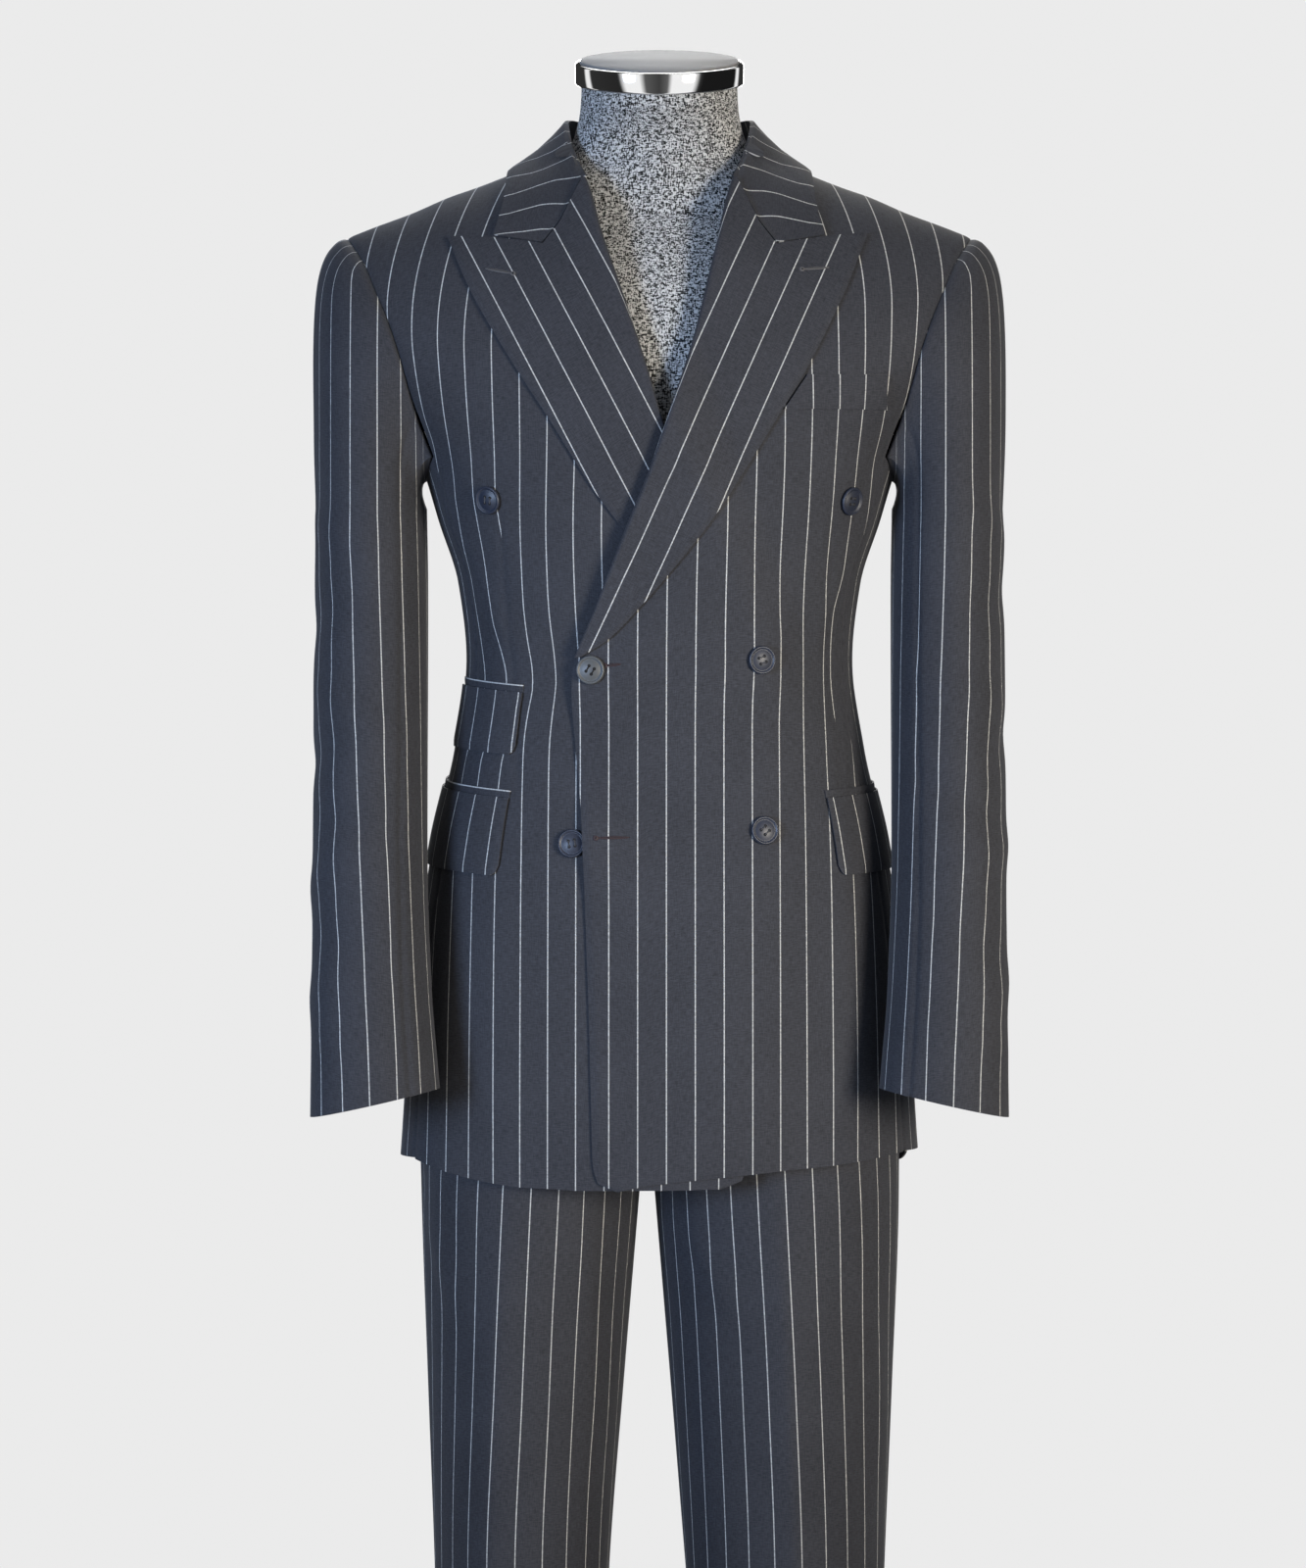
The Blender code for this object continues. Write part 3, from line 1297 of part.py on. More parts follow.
for old in list(bpy.data.objects):
    bpy.data.objects.remove(old)
suit = bpy.data.collections.new("striped_suit")
bpy.context.scene.collection.children.link(suit)

for hand in (1, -1):
    build_front(hand)
    build_side(hand)
    build_back(hand)
    build_lapel(hand)
    build_sleeve(hand)
    build_cuff_buttons(hand)
    build_trousers(hand)
build_collar()
build_pockets()
build_buttons()
build_waistband()
build_form()
build_neck_cap()
build_stand()
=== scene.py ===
"""Looks of the striped suit on its dress form: cloth, stripes, folds, buttons, light and camera.

Metres, +Z up. The suit faces -Y and the wearer's left is +X. Each piece of cloth is a
fine grid on the same form as its solid, with its stripes laid along the cut's grain.
"""
from collections import namedtuple
from math import cos, pi, radians, sin, tan

import bmesh
import bpy
import numpy as np
from mathutils import Matrix, Vector


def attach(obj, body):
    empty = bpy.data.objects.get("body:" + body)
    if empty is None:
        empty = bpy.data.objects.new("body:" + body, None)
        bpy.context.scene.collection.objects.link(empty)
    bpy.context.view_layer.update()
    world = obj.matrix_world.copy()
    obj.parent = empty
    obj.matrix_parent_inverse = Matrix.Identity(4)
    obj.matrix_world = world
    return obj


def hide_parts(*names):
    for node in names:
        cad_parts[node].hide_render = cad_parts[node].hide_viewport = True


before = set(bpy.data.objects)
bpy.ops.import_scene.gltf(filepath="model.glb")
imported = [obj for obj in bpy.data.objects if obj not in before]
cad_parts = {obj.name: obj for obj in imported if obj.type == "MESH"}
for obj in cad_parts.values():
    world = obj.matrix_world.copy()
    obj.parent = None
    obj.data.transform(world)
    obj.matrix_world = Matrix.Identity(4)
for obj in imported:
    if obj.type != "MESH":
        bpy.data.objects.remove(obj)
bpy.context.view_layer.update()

# Cloth
WALL = 0.0016
FLAP_WALL = 0.0013
LAY_GAP = 0.0008
LAPEL_GAP = 0.0013
LAPEL_ROLL = 0.0028
STRIPE_PERIOD = 0.021
STRIPE_WIDTH = 0.00086
NARROWEST_CUT = 0.011
SHARP_ANGLE = 50.0
SAME_POINT = 0.00001

# Jacket
ROUNDNESS = 2.35
CHEST_LEVEL = 1.2936
ARMPIT_LEVEL = 1.278
CLIMB_SCALE = 0.15
FRONT_SEAM_TURN = 68.0
BACK_SEAM_TURN_TOP = 112.0
BACK_SEAM_TURN_HEM = 100.0
VENT_TOP = 0.990
VENT_OPENING = 0.004
VENT_CORNER = 0.035
BACK_HEM = 0.766
NECK_POINT_X = 0.0745
SIDE_HEM_X = 0.185
ARC_RADIUS = 0.15
FRONT_LEFT_PHASE = -0.0050
FRONT_RIGHT_PHASE = 0.0013
SIDE_PHASE = 0.006
BACK_PHASE = 0.0105
GENTLE_EASE = 0.35
EDGE_ROLL_DEPTH = 0.0009
EDGE_ROLL_REACH = 0.0022
BACK_SEAM_DEPTH = 0.0009

# Front dart: it opens below the chest and runs into the pocket's mouth
DART_TOP = 1.262
DART_POCKET = 1.044
DART_COLUMN = 70
FRONT_COLUMNS = 104
DART_DEPTH = 0.0005
DART_REACH = 0.0030
DART_FADE_TOP = 0.03
DART_FADE_POCKET = 0.01

# Above these levels the stripes lean aside on the shoulders, more the higher they are
SHOULDER_LEAN_FROM = {1: 1.400, -1: 1.368}
SHOULDER_LEAN = {1: 2.3, -1: 1.81}

# Closure
OVERLAP_LIFT = 0.0027
OVERLAP_LIFT_ON_LAPEL = 0.0071
OVERLAP_STEP_LEVEL = 1.090
OVERLAP_STEP_HEIGHT = 0.045
OVERLAP_RAMP = 0.045
OVERLAP_MARGIN = 0.006
BUTTON_BULGE = 0.0046
BUTTON_BULGE_RADIUS = 0.030
BUTTON_BULGE_SHIFT = 0.004

# Buttons
BUTTON_RADIUS = 0.0105
BUTTON_THICKNESS = 0.0028
BUTTON_SEAT = 0.0006
BUTTON_SHARP_ANGLE = 60.0
# Shares of the button's radius
BUTTON_HOLE_OFF = 0.215
BUTTON_HOLE_RADIUS = 0.118
BUTTON_THREAD_RADIUS = 0.045
HOLE_LIFT = 0.00006
THREAD_LIFT = 0.00025
# How far each next button is turned round, in radians, since no two are sewn on alike
BUTTON_SPIN = 0.35
CUFF_BUTTON_SPIN = 0.4
CUFF_BUTTON_RADIUS = 0.0070
CUFF_BUTTON_THICKNESS = 0.0024
CUFF_BUTTON_PITCH = 0.0165
CUFF_BUTTON_FIRST = 0.040
CUFF_BUTTON_TURN = 11.0

# Sleeves
SLEEVE_START = 1.257
SLEEVE_FRONT_SEAM = 125.0
SLEEVE_BACK_SEAM_TOP = -75.0
SLEEVE_BACK_SEAM_CUFF = -38.0
CUFF_LEVEL = 0.8175
CUFF_SLANT = 0.0105
SLEEVE_PHASE = {1: -0.0055, -1: -0.0085}
SLEEVE_TUCK = -0.0004
SLEEVE_HEAD_ROWS = 0.38
SLEEVE_WRAP_RADIUS = 0.052
SLEEVE_SEAM_DEPTH = 0.0010
SLEEVE_SEAM_REACH = 0.003
SLEEVE_CREASES_START = 0.4
SLEEVE_CREASES_CUFF_FADE = 0.1
HEAD_SEAM_DEPTH = 0.0012
HEAD_SEAM_REACH = 0.03
ROPING_HEIGHT = 0.0005
ROPING_DOWN = 0.10
ROPING_REACH = 0.05

# The sleeve's head: a curve from the armhole's seam out, over and down to the arm's top.
# "Out" grows from the arm's innermost line to its outermost one, "outside" only on the
# outer half.
HEAD_LEAN = 0.30
HEAD_RISE_UNDER = 0.10
HEAD_DROP_OUTSIDE = 0.26
HEAD_REACH = 0.0125
HEAD_REACH_OUT = 0.0055
HEAD_REACH_OUTSIDE = 0.0090
HEAD_END_OUT = -0.003
HEAD_END_OUTSIDE = 0.011
HEAD_END_HEIGHT = 0.085
HEAD_END_HEIGHT_OUT = 0.078

# In the head the stripes stay upright, except near the arm's outermost line
HEAD_UPRIGHT_END = 1.04
HEAD_UPRIGHT_SPAN = 0.04
OUTERMOST_TURN = 6.0
OUTERMOST_SPAN = 34.0

# Trousers
FORK_TOP = 0.900
CROTCH_LEVEL = 0.812
TROUSER_CENTRE_X = -0.0092
TROUSER_HEM = 0.030
TROUSER_HEM_DROP = 0.008
CREASE_HEIGHT = 0.0150
CREASE_REACH = 0.60
CREASE_UNDER_JACKET = 0.28
CREASE_FADE_LEVEL = 0.65
CREASE_FADE_HEIGHT = 0.10
CREASE_ROUNDING = 0.0003
LEG_BACK_CREASES_SHIFT = 0.24
LEG_CREASES_TOP = 0.80
LEG_CREASES_FADE = 0.05
LEG_SEAM_CLEAR = 0.03
LEG_SEAM_DEPTH = 0.0008
LEG_SEAM_REACH = 0.003
BAND_BOTTOM = 1.0665
BAND_TOP = 1.105
HIP_ROUNDNESS = 2.3

# Dress form
NECK_TILT = 13.5
NECK_CENTRE_Y = -0.014
NECK_TOP = 1.5744
NECK_ROOT = 1.515
CAP_RADIUS = 0.0632
CAP_HEIGHT = 0.0162
CAP_DISC_RADIUS = 0.0595
CAP_DISC_THICKNESS = 0.0015
CAP_EDGE = 0.0018
SEAT_GAP = 0.0003
POLE_X = 0.093
POLE_RADIUS = 0.0125
FLANGE_RADIUS = 0.042
FLANGE_THICKNESS = 0.008
FORM_BOTTOM = 0.905
BASE_RADIUS = 0.190
BASE_THICKNESS = 0.006
BASE_EDGE = 0.002
FORM_CLEARANCE = 0.0025

JacketSection = namedtuple("JacketSection", "z half_width front back")
JACKET_SECTIONS = (
    JacketSection(0.740, 0.1965, 0.1285, 0.1300),
    JacketSection(0.790, 0.1930, 0.1275, 0.1300),
    JacketSection(0.867, 0.1880, 0.1250, 0.1280),
    JacketSection(0.941, 0.1800, 0.1215, 0.1250),
    JacketSection(1.012, 0.1687, 0.1160, 0.1180),
    JacketSection(1.077, 0.1537, 0.1095, 0.1060),
    JacketSection(1.145, 0.1447, 0.1065, 0.0960),
    JacketSection(1.201, 0.1507, 0.1105, 0.1000),
    JacketSection(1.248, 0.1655, 0.1170, 0.1080),
    JacketSection(1.278, 0.1745, 0.1205, 0.1130),
    JacketSection(1.2936, 0.1800, 0.1225, 0.1155),
    JacketSection(1.3237, 0.1987, 0.1235, 0.1175),
    JacketSection(1.346, 0.2139, 0.1235, 0.1180),
    JacketSection(1.372, 0.2312, 0.1235, 0.1180),
    JacketSection(1.394, 0.2434, 0.1230, 0.1180),
    JacketSection(1.4166, 0.2526, 0.1230, 0.1180),
    JacketSection(1.4375, 0.2560, 0.1230, 0.1180),
    JacketSection(1.560, 0.2580, 0.1230, 0.1180),
)

LinePoint = namedtuple("LinePoint", "x z")
SHOULDER_RIDGE = (
    LinePoint(0.0000, 1.5560), LinePoint(0.0300, 1.5510), LinePoint(0.0550, 1.5390),
    LinePoint(0.0720, 1.5273), LinePoint(0.0882, 1.5178), LinePoint(0.1110, 1.5082),
    LinePoint(0.1374, 1.4979), LinePoint(0.1566, 1.4913), LinePoint(0.1860, 1.4786),
    LinePoint(0.2124, 1.4689), LinePoint(0.2337, 1.4604), LinePoint(0.2600, 1.4480),
)
ARMHOLE = (
    LinePoint(0.1688, 1.2936), LinePoint(0.1745, 1.3080), LinePoint(0.1800, 1.3237),
    LinePoint(0.1866, 1.3460), LinePoint(0.1939, 1.3720), LinePoint(0.2013, 1.3940),
    LinePoint(0.2108, 1.4166), LinePoint(0.2195, 1.4375), LinePoint(0.2337, 1.4604),
)
LEFT_EDGE = (
    LinePoint(-0.0310, 0.7525), LinePoint(-0.0444, 0.7576), LinePoint(-0.0489, 0.7744),
    LinePoint(-0.0499, 0.8116), LinePoint(-0.0518, 0.8868), LinePoint(-0.0538, 0.9426),
    LinePoint(-0.0560, 1.0129), LinePoint(-0.0583, 1.0460), LinePoint(-0.0615, 1.0791),
    LinePoint(-0.0637, 1.1122), LinePoint(-0.0627, 1.1331), LinePoint(-0.0580, 1.1470),
    LinePoint(-0.0423, 1.1859), LinePoint(-0.0282, 1.2231), LinePoint(-0.0050, 1.2819),
    LinePoint(0.0172, 1.3452), LinePoint(0.0279, 1.3800), LinePoint(0.0432, 1.4445),
    LinePoint(0.0555, 1.4972), LinePoint(0.0660, 1.5130), LinePoint(NECK_POINT_X, 1.5258),
)
RIGHT_EDGE = (
    LinePoint(-0.0450, 0.7545), LinePoint(-0.0600, 0.7600), LinePoint(-0.0640, 0.7750),
    LinePoint(-0.0655, 1.0129), LinePoint(-0.0668, 1.1200), LinePoint(-0.0655, 1.1447),
    LinePoint(-0.0518, 1.1863), LinePoint(-0.0374, 1.2235), LinePoint(-0.0136, 1.2819),
    LinePoint(-0.0038, 1.3085), LinePoint(0.0117, 1.3582), LinePoint(0.0304, 1.4136),
    LinePoint(0.0449, 1.4579), LinePoint(0.0555, 1.4972), LinePoint(0.0660, 1.5130),
    LinePoint(NECK_POINT_X, 1.5258),
)
LEFT_HEM = (
    LinePoint(-0.0310, 0.7525), LinePoint(-0.0093, 0.7567), LinePoint(0.0279, 0.7610),
    LinePoint(0.0674, 0.7650), LinePoint(0.0958, 0.7680), LinePoint(0.1259, 0.7704),
    LinePoint(0.1605, 0.7749), LinePoint(0.1850, 0.7790),
)
RIGHT_HEM = (
    LinePoint(-0.0450, 0.7545), LinePoint(0.0000, 0.7535), LinePoint(0.0609, 0.7533),
    LinePoint(0.0800, 0.7544), LinePoint(0.1027, 0.7552), LinePoint(0.1252, 0.7582),
    LinePoint(0.1560, 0.7646), LinePoint(0.1850, 0.7740),
)
LEFT_LAPEL_EDGE = (
    LinePoint(-0.0560, 1.1440), LinePoint(-0.0360, 1.1579), LinePoint(-0.0142, 1.1812),
    LinePoint(0.0084, 1.2077), LinePoint(0.0505, 1.2637), LinePoint(0.0893, 1.3252),
    LinePoint(0.1077, 1.3560), LinePoint(0.1363, 1.4142), LinePoint(0.1538, 1.4582),
)
RIGHT_LAPEL_EDGE = (
    LinePoint(-0.0620, 1.1410), LinePoint(-0.0420, 1.1590), LinePoint(-0.0194, 1.1804),
    LinePoint(0.0007, 1.2070), LinePoint(0.0429, 1.2594), LinePoint(0.0827, 1.3218),
    LinePoint(0.1033, 1.3534), LinePoint(0.1395, 1.4154), LinePoint(0.1566, 1.4555),
)
LEFT_LAPEL_TOP = (
    LinePoint(0.0555, 1.4972), LinePoint(0.0721, 1.4640), LinePoint(0.0852, 1.4478),
    LinePoint(0.1034, 1.4510), LinePoint(0.1220, 1.4545), LinePoint(0.1385, 1.4566),
    LinePoint(0.1538, 1.4582),
)
RIGHT_LAPEL_TOP = (
    LinePoint(0.0555, 1.4972), LinePoint(0.0721, 1.4640), LinePoint(0.0852, 1.4478),
    LinePoint(0.1034, 1.4510), LinePoint(0.1220, 1.4535), LinePoint(0.1395, 1.4546),
    LinePoint(0.1566, 1.4555),
)
LAPEL_TOP_REACH = 4.0
LAPEL_ROLL_START = {1: 0.0, -1: 0.45}
LAPEL_ROLL_RISE = 0.3
# The stripes' angle above the level and where the first one lies, for each lapel
LAPEL_STRIPE_ANGLE = {1: 66.0, -1: 62.4}
LAPEL_STRIPE_PHASE = {1: -0.0123, -1: -0.0012}

CollarSeamPoint = namedtuple("CollarSeamPoint", "along x tip")
NECK_SEAM = (
    CollarSeamPoint(0.00, 0.0000, -33.7), CollarSeamPoint(0.30, 0.0450, -26.5),
    CollarSeamPoint(0.50, 0.0680, -11.5), CollarSeamPoint(0.62, NECK_POINT_X, 0.0),
    CollarSeamPoint(0.80, 0.0660, 22.8), CollarSeamPoint(1.00, 0.0555, 34.1),
)
COLLAR_EDGE = (
    CollarSeamPoint(0.00, 0.0000, -39.0), CollarSeamPoint(0.30, 0.0600, -33.0),
    CollarSeamPoint(0.50, 0.0970, -18.0), CollarSeamPoint(0.62, 0.1110, -1.0),
    CollarSeamPoint(0.80, 0.1145, 27.0), CollarSeamPoint(1.00, 0.1220, 40.0),
)
CollarFoldPoint = namedtuple("CollarFoldPoint", "along x y z")
COLLAR_FOLD = (
    CollarFoldPoint(0.00, 0.0000, 0.0620, 1.5500),
    CollarFoldPoint(0.30, 0.0400, 0.0500, 1.5505),
    CollarFoldPoint(0.50, 0.0655, 0.0200, 1.5505),
    CollarFoldPoint(0.62, 0.0705, -0.0040, 1.5470),
    CollarFoldPoint(0.75, 0.0685, -0.0280, 1.5330),
    CollarFoldPoint(0.88, 0.0625, -0.0500, 1.5145),
    CollarFoldPoint(1.00, 0.0548, -0.0735, 1.4995),
)
COLLAR_LIFT = 0.0042
COLLAR_END_REACH = 5.0
GORGE_GAP = 0.0004
COLLAR_FOLD_RADIUS = 0.0030
COLLAR_STAND_SHARE = 0.34
COLLAR_END_TRIM = 0.9975
COLLAR_AXIS_Y = -0.012
COLLAR_LEAF_DISTANCE = 0.0795
COLLAR_STRIPE_SLANT = 0.038
COLLAR_SLANT_SPAN = 0.65
COLLAR_FOLD_SPREAD = 0.05
COLLAR_FOLD_RISE = 0.0008
COLLAR_LEAF_WIDTH = 0.09
COLLAR_EDGE_DEPTH = 0.0006
COLLAR_EDGE_REACH = 0.003
COLLAR_PHASE = 0.0054

PocketPiece = namedtuple(
    "PocketPiece",
    "name side turn_front turn_back level_front level_back height first_stripe stripe_slant welt_stripe",
)
POCKET_PIECES = (
    PocketPiece("hip_flap_left", 1, 46.0, 108.0, 1.0405, 1.0500, 0.0575, 0.0050, 0.0, 0.0105),
    PocketPiece("hip_flap_right", -1, 39.5, 104.0, 1.0405, 1.0530, 0.0575, 0.0100, 0.0, 0.0006),
    PocketPiece("ticket_flap_right", -1, 40.0, 82.0, 1.1185, 1.1260, 0.0465, 0.0026, 0.0, 0.0006),
)
WELT_HEIGHT = 0.0055
WELT_WALL = 0.0011
# How far a flap springs off the front
FLAP_SPRING = 0.0010
FLAP_CORNER = 0.008
POCKET_ARC_RADIUS = 0.14
POCKET_EDGE_DEPTH = 0.0006
POCKET_EDGE_REACH = 0.0025
ChestWelt = namedtuple("ChestWelt", "x_top x_bottom z_top z_bottom")
CHEST_WELT_FRONT = ChestWelt(0.1083, 0.0912, 1.3515, 1.3260)
CHEST_WELT_BACK = ChestWelt(0.1672, 0.1668, 1.3530, 1.3275)

ButtonPlace = namedtuple("ButtonPlace", "name side x z")
BUTTONS = (
    ButtonPlace("button_left_chest", 1, 0.1412, 1.2602),
    ButtonPlace("button_left_waist", 1, 0.0725, 1.1421),
    ButtonPlace("button_left_hip", 1, 0.0762, 1.0165),
    ButtonPlace("button_fastened", 1, -0.0494, 1.1345),
    ButtonPlace("button_right_chest", -1, 0.1256, 1.2604),
    ButtonPlace("button_right_hip", -1, 0.0640, 1.0072),
)
HIDDEN_BUTTON = BUTTONS[-1]

# Half sizes of a buttonhole's bar of thread, of its slit, and of their round eyes
BUTTONHOLE_HEIGHT = 0.0006
BUTTONHOLE_LIFT = 0.0002
BAR_HALF_WIDTH = 0.0011
BAR_EYE = (0.0021, 0.0019)
SLIT_LIFT = 0.0001
SLIT_HALF_WIDTH = 0.00035
SLIT_HALF_SHARE = 0.46
SLIT_EYE = (0.0012, 0.0011)

# Buttonholes: both ends in the front's own x and height, and which thread
Buttonhole = namedtuple("Buttonhole", "name side x_eye z_eye x_end z_end lift thread")
BUTTONHOLES = (
    Buttonhole("buttonhole_fastened", 1, -0.0392, 1.1376, -0.0275, 1.1388, 0.0, "red"),
    Buttonhole("buttonhole_hip", 1, -0.0460, 1.0108, -0.0218, 1.0115, 0.0, "red"),
    Buttonhole("buttonhole_lapel_left", 1, 0.1043, 1.4287, 0.1243, 1.4303, 0.0034, "grey"),
    Buttonhole("buttonhole_lapel_right", -1, 0.1071, 1.4255, 0.1279, 1.4296, 0.0034, "grey"),
)

SleeveSection = namedtuple("SleeveSection", "z centre_x half_width centre_y half_depth")
SLEEVE_SECTIONS = (
    SleeveSection(0.800, 0.2073, 0.0490, -0.115, 0.0460),
    SleeveSection(0.850, 0.2098, 0.0464, -0.104, 0.0480),
    SleeveSection(0.900, 0.2120, 0.0442, -0.092, 0.0510),
    SleeveSection(1.000, 0.2143, 0.0425, -0.065, 0.0560),
    SleeveSection(1.125, 0.2150, 0.0426, -0.034, 0.0610),
    SleeveSection(1.200, 0.2154, 0.0424, -0.015, 0.0640),
    SleeveSection(1.257, 0.2157, 0.0415, -0.006, 0.0660),
)
HipSection = namedtuple("HipSection", "z half_width front back")
HIP_SECTIONS = (
    HipSection(0.810, 0.1800, 0.1040, 0.1090),
    HipSection(0.880, 0.1740, 0.1060, 0.1120),
    HipSection(0.940, 0.1650, 0.1050, 0.1110),
    HipSection(1.000, 0.1520, 0.1020, 0.1000),
    HipSection(1.067, 0.1395, 0.0965, 0.0885),
    HipSection(1.110, 0.1385, 0.0955, 0.0865),
)
LegSection = namedtuple(
    "LegSection",
    "z left_in left_out left_crease right_in right_out right_crease front back",
)
LEG_SECTIONS = (
    LegSection(0.020, 0.0475, 0.1545, 0.1010, 0.0505, 0.1575, 0.1130, 0.070, 0.080),
    LegSection(0.250, 0.0380, 0.1615, 0.1020, 0.0470, 0.1630, 0.1230, 0.073, 0.082),
    LegSection(0.463, 0.0196, 0.1689, 0.1010, 0.0375, 0.1685, 0.1275, 0.081, 0.089),
    LegSection(0.600, 0.0085, 0.1745, 0.0960, 0.0270, 0.1735, 0.1220, 0.089, 0.094),
    LegSection(0.746, -0.0037, 0.1797, 0.0886, 0.0147, 0.1786, 0.1156, 0.098, 0.100),
    LegSection(0.812, TROUSER_CENTRE_X, 0.1800, 0.0860, -TROUSER_CENTRE_X, 0.1800, 0.1120, 0.103, 0.102),
    LegSection(0.900, TROUSER_CENTRE_X, 0.1800, 0.0860, -TROUSER_CENTRE_X, 0.1800, 0.1120, 0.103, 0.102),
)
FormSection = namedtuple("FormSection", "z half_width front back centre_y roundness")
FORM_SECTIONS = (
    FormSection(0.905, 0.1570, 0.0960, 0.1010, 0.0, 2.3),
    FormSection(0.940, 0.1580, 0.0970, 0.1020, 0.0, 2.3),
    FormSection(1.000, 0.1480, 0.0980, 0.0960, 0.0, 2.3),
    FormSection(1.067, 0.1362, 0.0932, 0.0852, 0.0, 2.3),
    FormSection(1.105, 0.1350, 0.0925, 0.0838, 0.0, 2.3),
    FormSection(1.145, 0.1340, 0.0940, 0.0840, 0.0, 2.3),
    FormSection(1.200, 0.1390, 0.0990, 0.0880, 0.0, 2.3),
    FormSection(1.248, 0.1480, 0.1050, 0.0960, 0.0, 2.3),
    FormSection(1.2936, 0.1580, 0.1080, 0.1010, 0.0, 2.3),
    FormSection(1.360, 0.1700, 0.1070, 0.1030, 0.0, 2.3),
    FormSection(1.410, 0.1760, 0.0960, 0.0930, 0.0, 2.2),
    FormSection(1.440, 0.1770, 0.0820, 0.0810, 0.0, 2.1),
    FormSection(1.460, 0.1750, 0.0700, 0.0700, 0.0, 1.9),
    FormSection(1.474, 0.1720, 0.0600, 0.0610, 0.0, 1.7),
)
NECK_SECTIONS = (
    FormSection(1.5115, 0.0920, 0.0575, 0.0540, 0.0, 1.5),
    FormSection(1.5175, 0.0790, 0.0540, 0.0500, -0.001, 1.7),
    FormSection(1.5300, 0.0665, 0.0510, 0.0470, -0.002, 2.0),
    FormSection(1.5430, 0.0615, 0.0530, 0.0500, -0.006, 2.0),
    FormSection(1.5560, 0.0592, 0.0560, 0.0540, -0.010, 2.0),
    FormSection(1.5650, 0.0585, 0.0580, 0.0580, NECK_CENTRE_Y, 2.0),
    FormSection(NECK_TOP, 0.0582, 0.0582, 0.0582, NECK_CENTRE_Y, 2.0),
)
SHOULDER_CONTACT_X = (0.168, 0.152, 0.1374, 0.124, 0.111)
SHOULDER_DEPTH_FRONT = 0.058
SHOULDER_DEPTH_BACK = 0.056
SHOULDER_ROUNDNESS = 1.5

# Creases. "across" is the way round the piece in metres, "up" the height, "slope" the
# crease's angle above the level, and a negative height is a trough.
Crease = namedtuple("Crease", "across up slope length width height")
JACKET_CREASES = (
    Crease(-0.020, 1.166, 58.0, 0.045, 0.010, -0.0010),
    Crease(0.020, 1.118, -8.0, 0.055, 0.008, -0.0009),
    Crease(0.060, 1.150, 20.0, 0.050, 0.010, 0.0009),
    Crease(-0.085, 1.122, 12.0, 0.040, 0.008, -0.0010),
    Crease(-0.120, 1.160, -24.0, 0.045, 0.010, 0.0010),
    Crease(0.155, 1.200, 62.0, 0.060, 0.014, 0.0014),
    Crease(-0.155, 1.205, -62.0, 0.060, 0.014, 0.0014),
    Crease(0.180, 1.330, 70.0, 0.070, 0.013, -0.0016),
    Crease(-0.180, 1.335, -70.0, 0.070, 0.013, -0.0016),
    Crease(0.120, 0.900, 86.0, 0.110, 0.018, 0.0016),
    Crease(-0.095, 0.880, 94.0, 0.110, 0.018, 0.0014),
    Crease(0.030, 0.860, 88.0, 0.100, 0.020, 0.0011),
    Crease(0.300, 1.150, 20.0, 0.060, 0.011, -0.0015),
    Crease(-0.300, 1.140, -20.0, 0.060, 0.011, -0.0015),
    Crease(0.345, 1.105, 10.0, 0.070, 0.011, 0.0015),
    Crease(-0.345, 1.112, -8.0, 0.070, 0.011, 0.0015),
    Crease(0.330, 1.300, 74.0, 0.080, 0.016, 0.0020),
    Crease(-0.330, 1.300, -74.0, 0.080, 0.016, 0.0020),
    Crease(0.420, 0.880, 90.0, 0.120, 0.022, 0.0020),
    Crease(-0.420, 0.880, 90.0, 0.120, 0.022, 0.0020),
)
SLEEVE_CREASE_SHARE = 0.70
SLEEVE_CREASES = {
    1: (
        Crease(0.045, 1.250, 24.0, 0.050, 0.013, 0.0020),
        Crease(0.020, 1.190, -18.0, 0.050, 0.016, -0.0024),
        Crease(0.070, 1.120, 14.0, 0.055, 0.014, 0.0022),
        Crease(0.010, 1.085, -28.0, 0.050, 0.015, -0.0026),
        Crease(0.075, 1.040, 20.0, 0.050, 0.012, -0.0024),
        Crease(0.030, 1.000, -12.0, 0.055, 0.014, 0.0024),
        Crease(0.065, 0.940, 26.0, 0.050, 0.015, -0.0022),
        Crease(0.005, 0.905, -20.0, 0.050, 0.015, 0.0020),
        Crease(0.060, 0.865, 12.0, 0.050, 0.013, 0.0014),
        Crease(-0.050, 1.150, 60.0, 0.070, 0.014, 0.0020),
        Crease(-0.060, 1.000, -40.0, 0.060, 0.014, -0.0022),
        Crease(0.000, 1.370, 80.0, 0.060, 0.016, -0.0014),
    ),
    -1: (
        Crease(0.050, 1.235, -20.0, 0.050, 0.014, 0.0020),
        Crease(0.025, 1.175, 20.0, 0.050, 0.016, -0.0024),
        Crease(0.065, 1.105, -22.0, 0.055, 0.014, 0.0022),
        Crease(0.015, 1.070, 16.0, 0.050, 0.014, -0.0026),
        Crease(0.070, 1.020, -14.0, 0.050, 0.013, -0.0024),
        Crease(0.030, 0.985, 24.0, 0.055, 0.014, 0.0024),
        Crease(0.065, 0.930, -18.0, 0.050, 0.014, -0.0022),
        Crease(0.010, 0.895, 14.0, 0.050, 0.015, 0.0020),
        Crease(0.055, 0.860, -24.0, 0.050, 0.013, 0.0014),
        Crease(-0.050, 1.140, -58.0, 0.070, 0.014, 0.0020),
        Crease(-0.060, 1.010, 42.0, 0.060, 0.014, -0.0022),
        Crease(0.000, 1.365, 98.0, 0.060, 0.016, -0.0014),
    ),
}
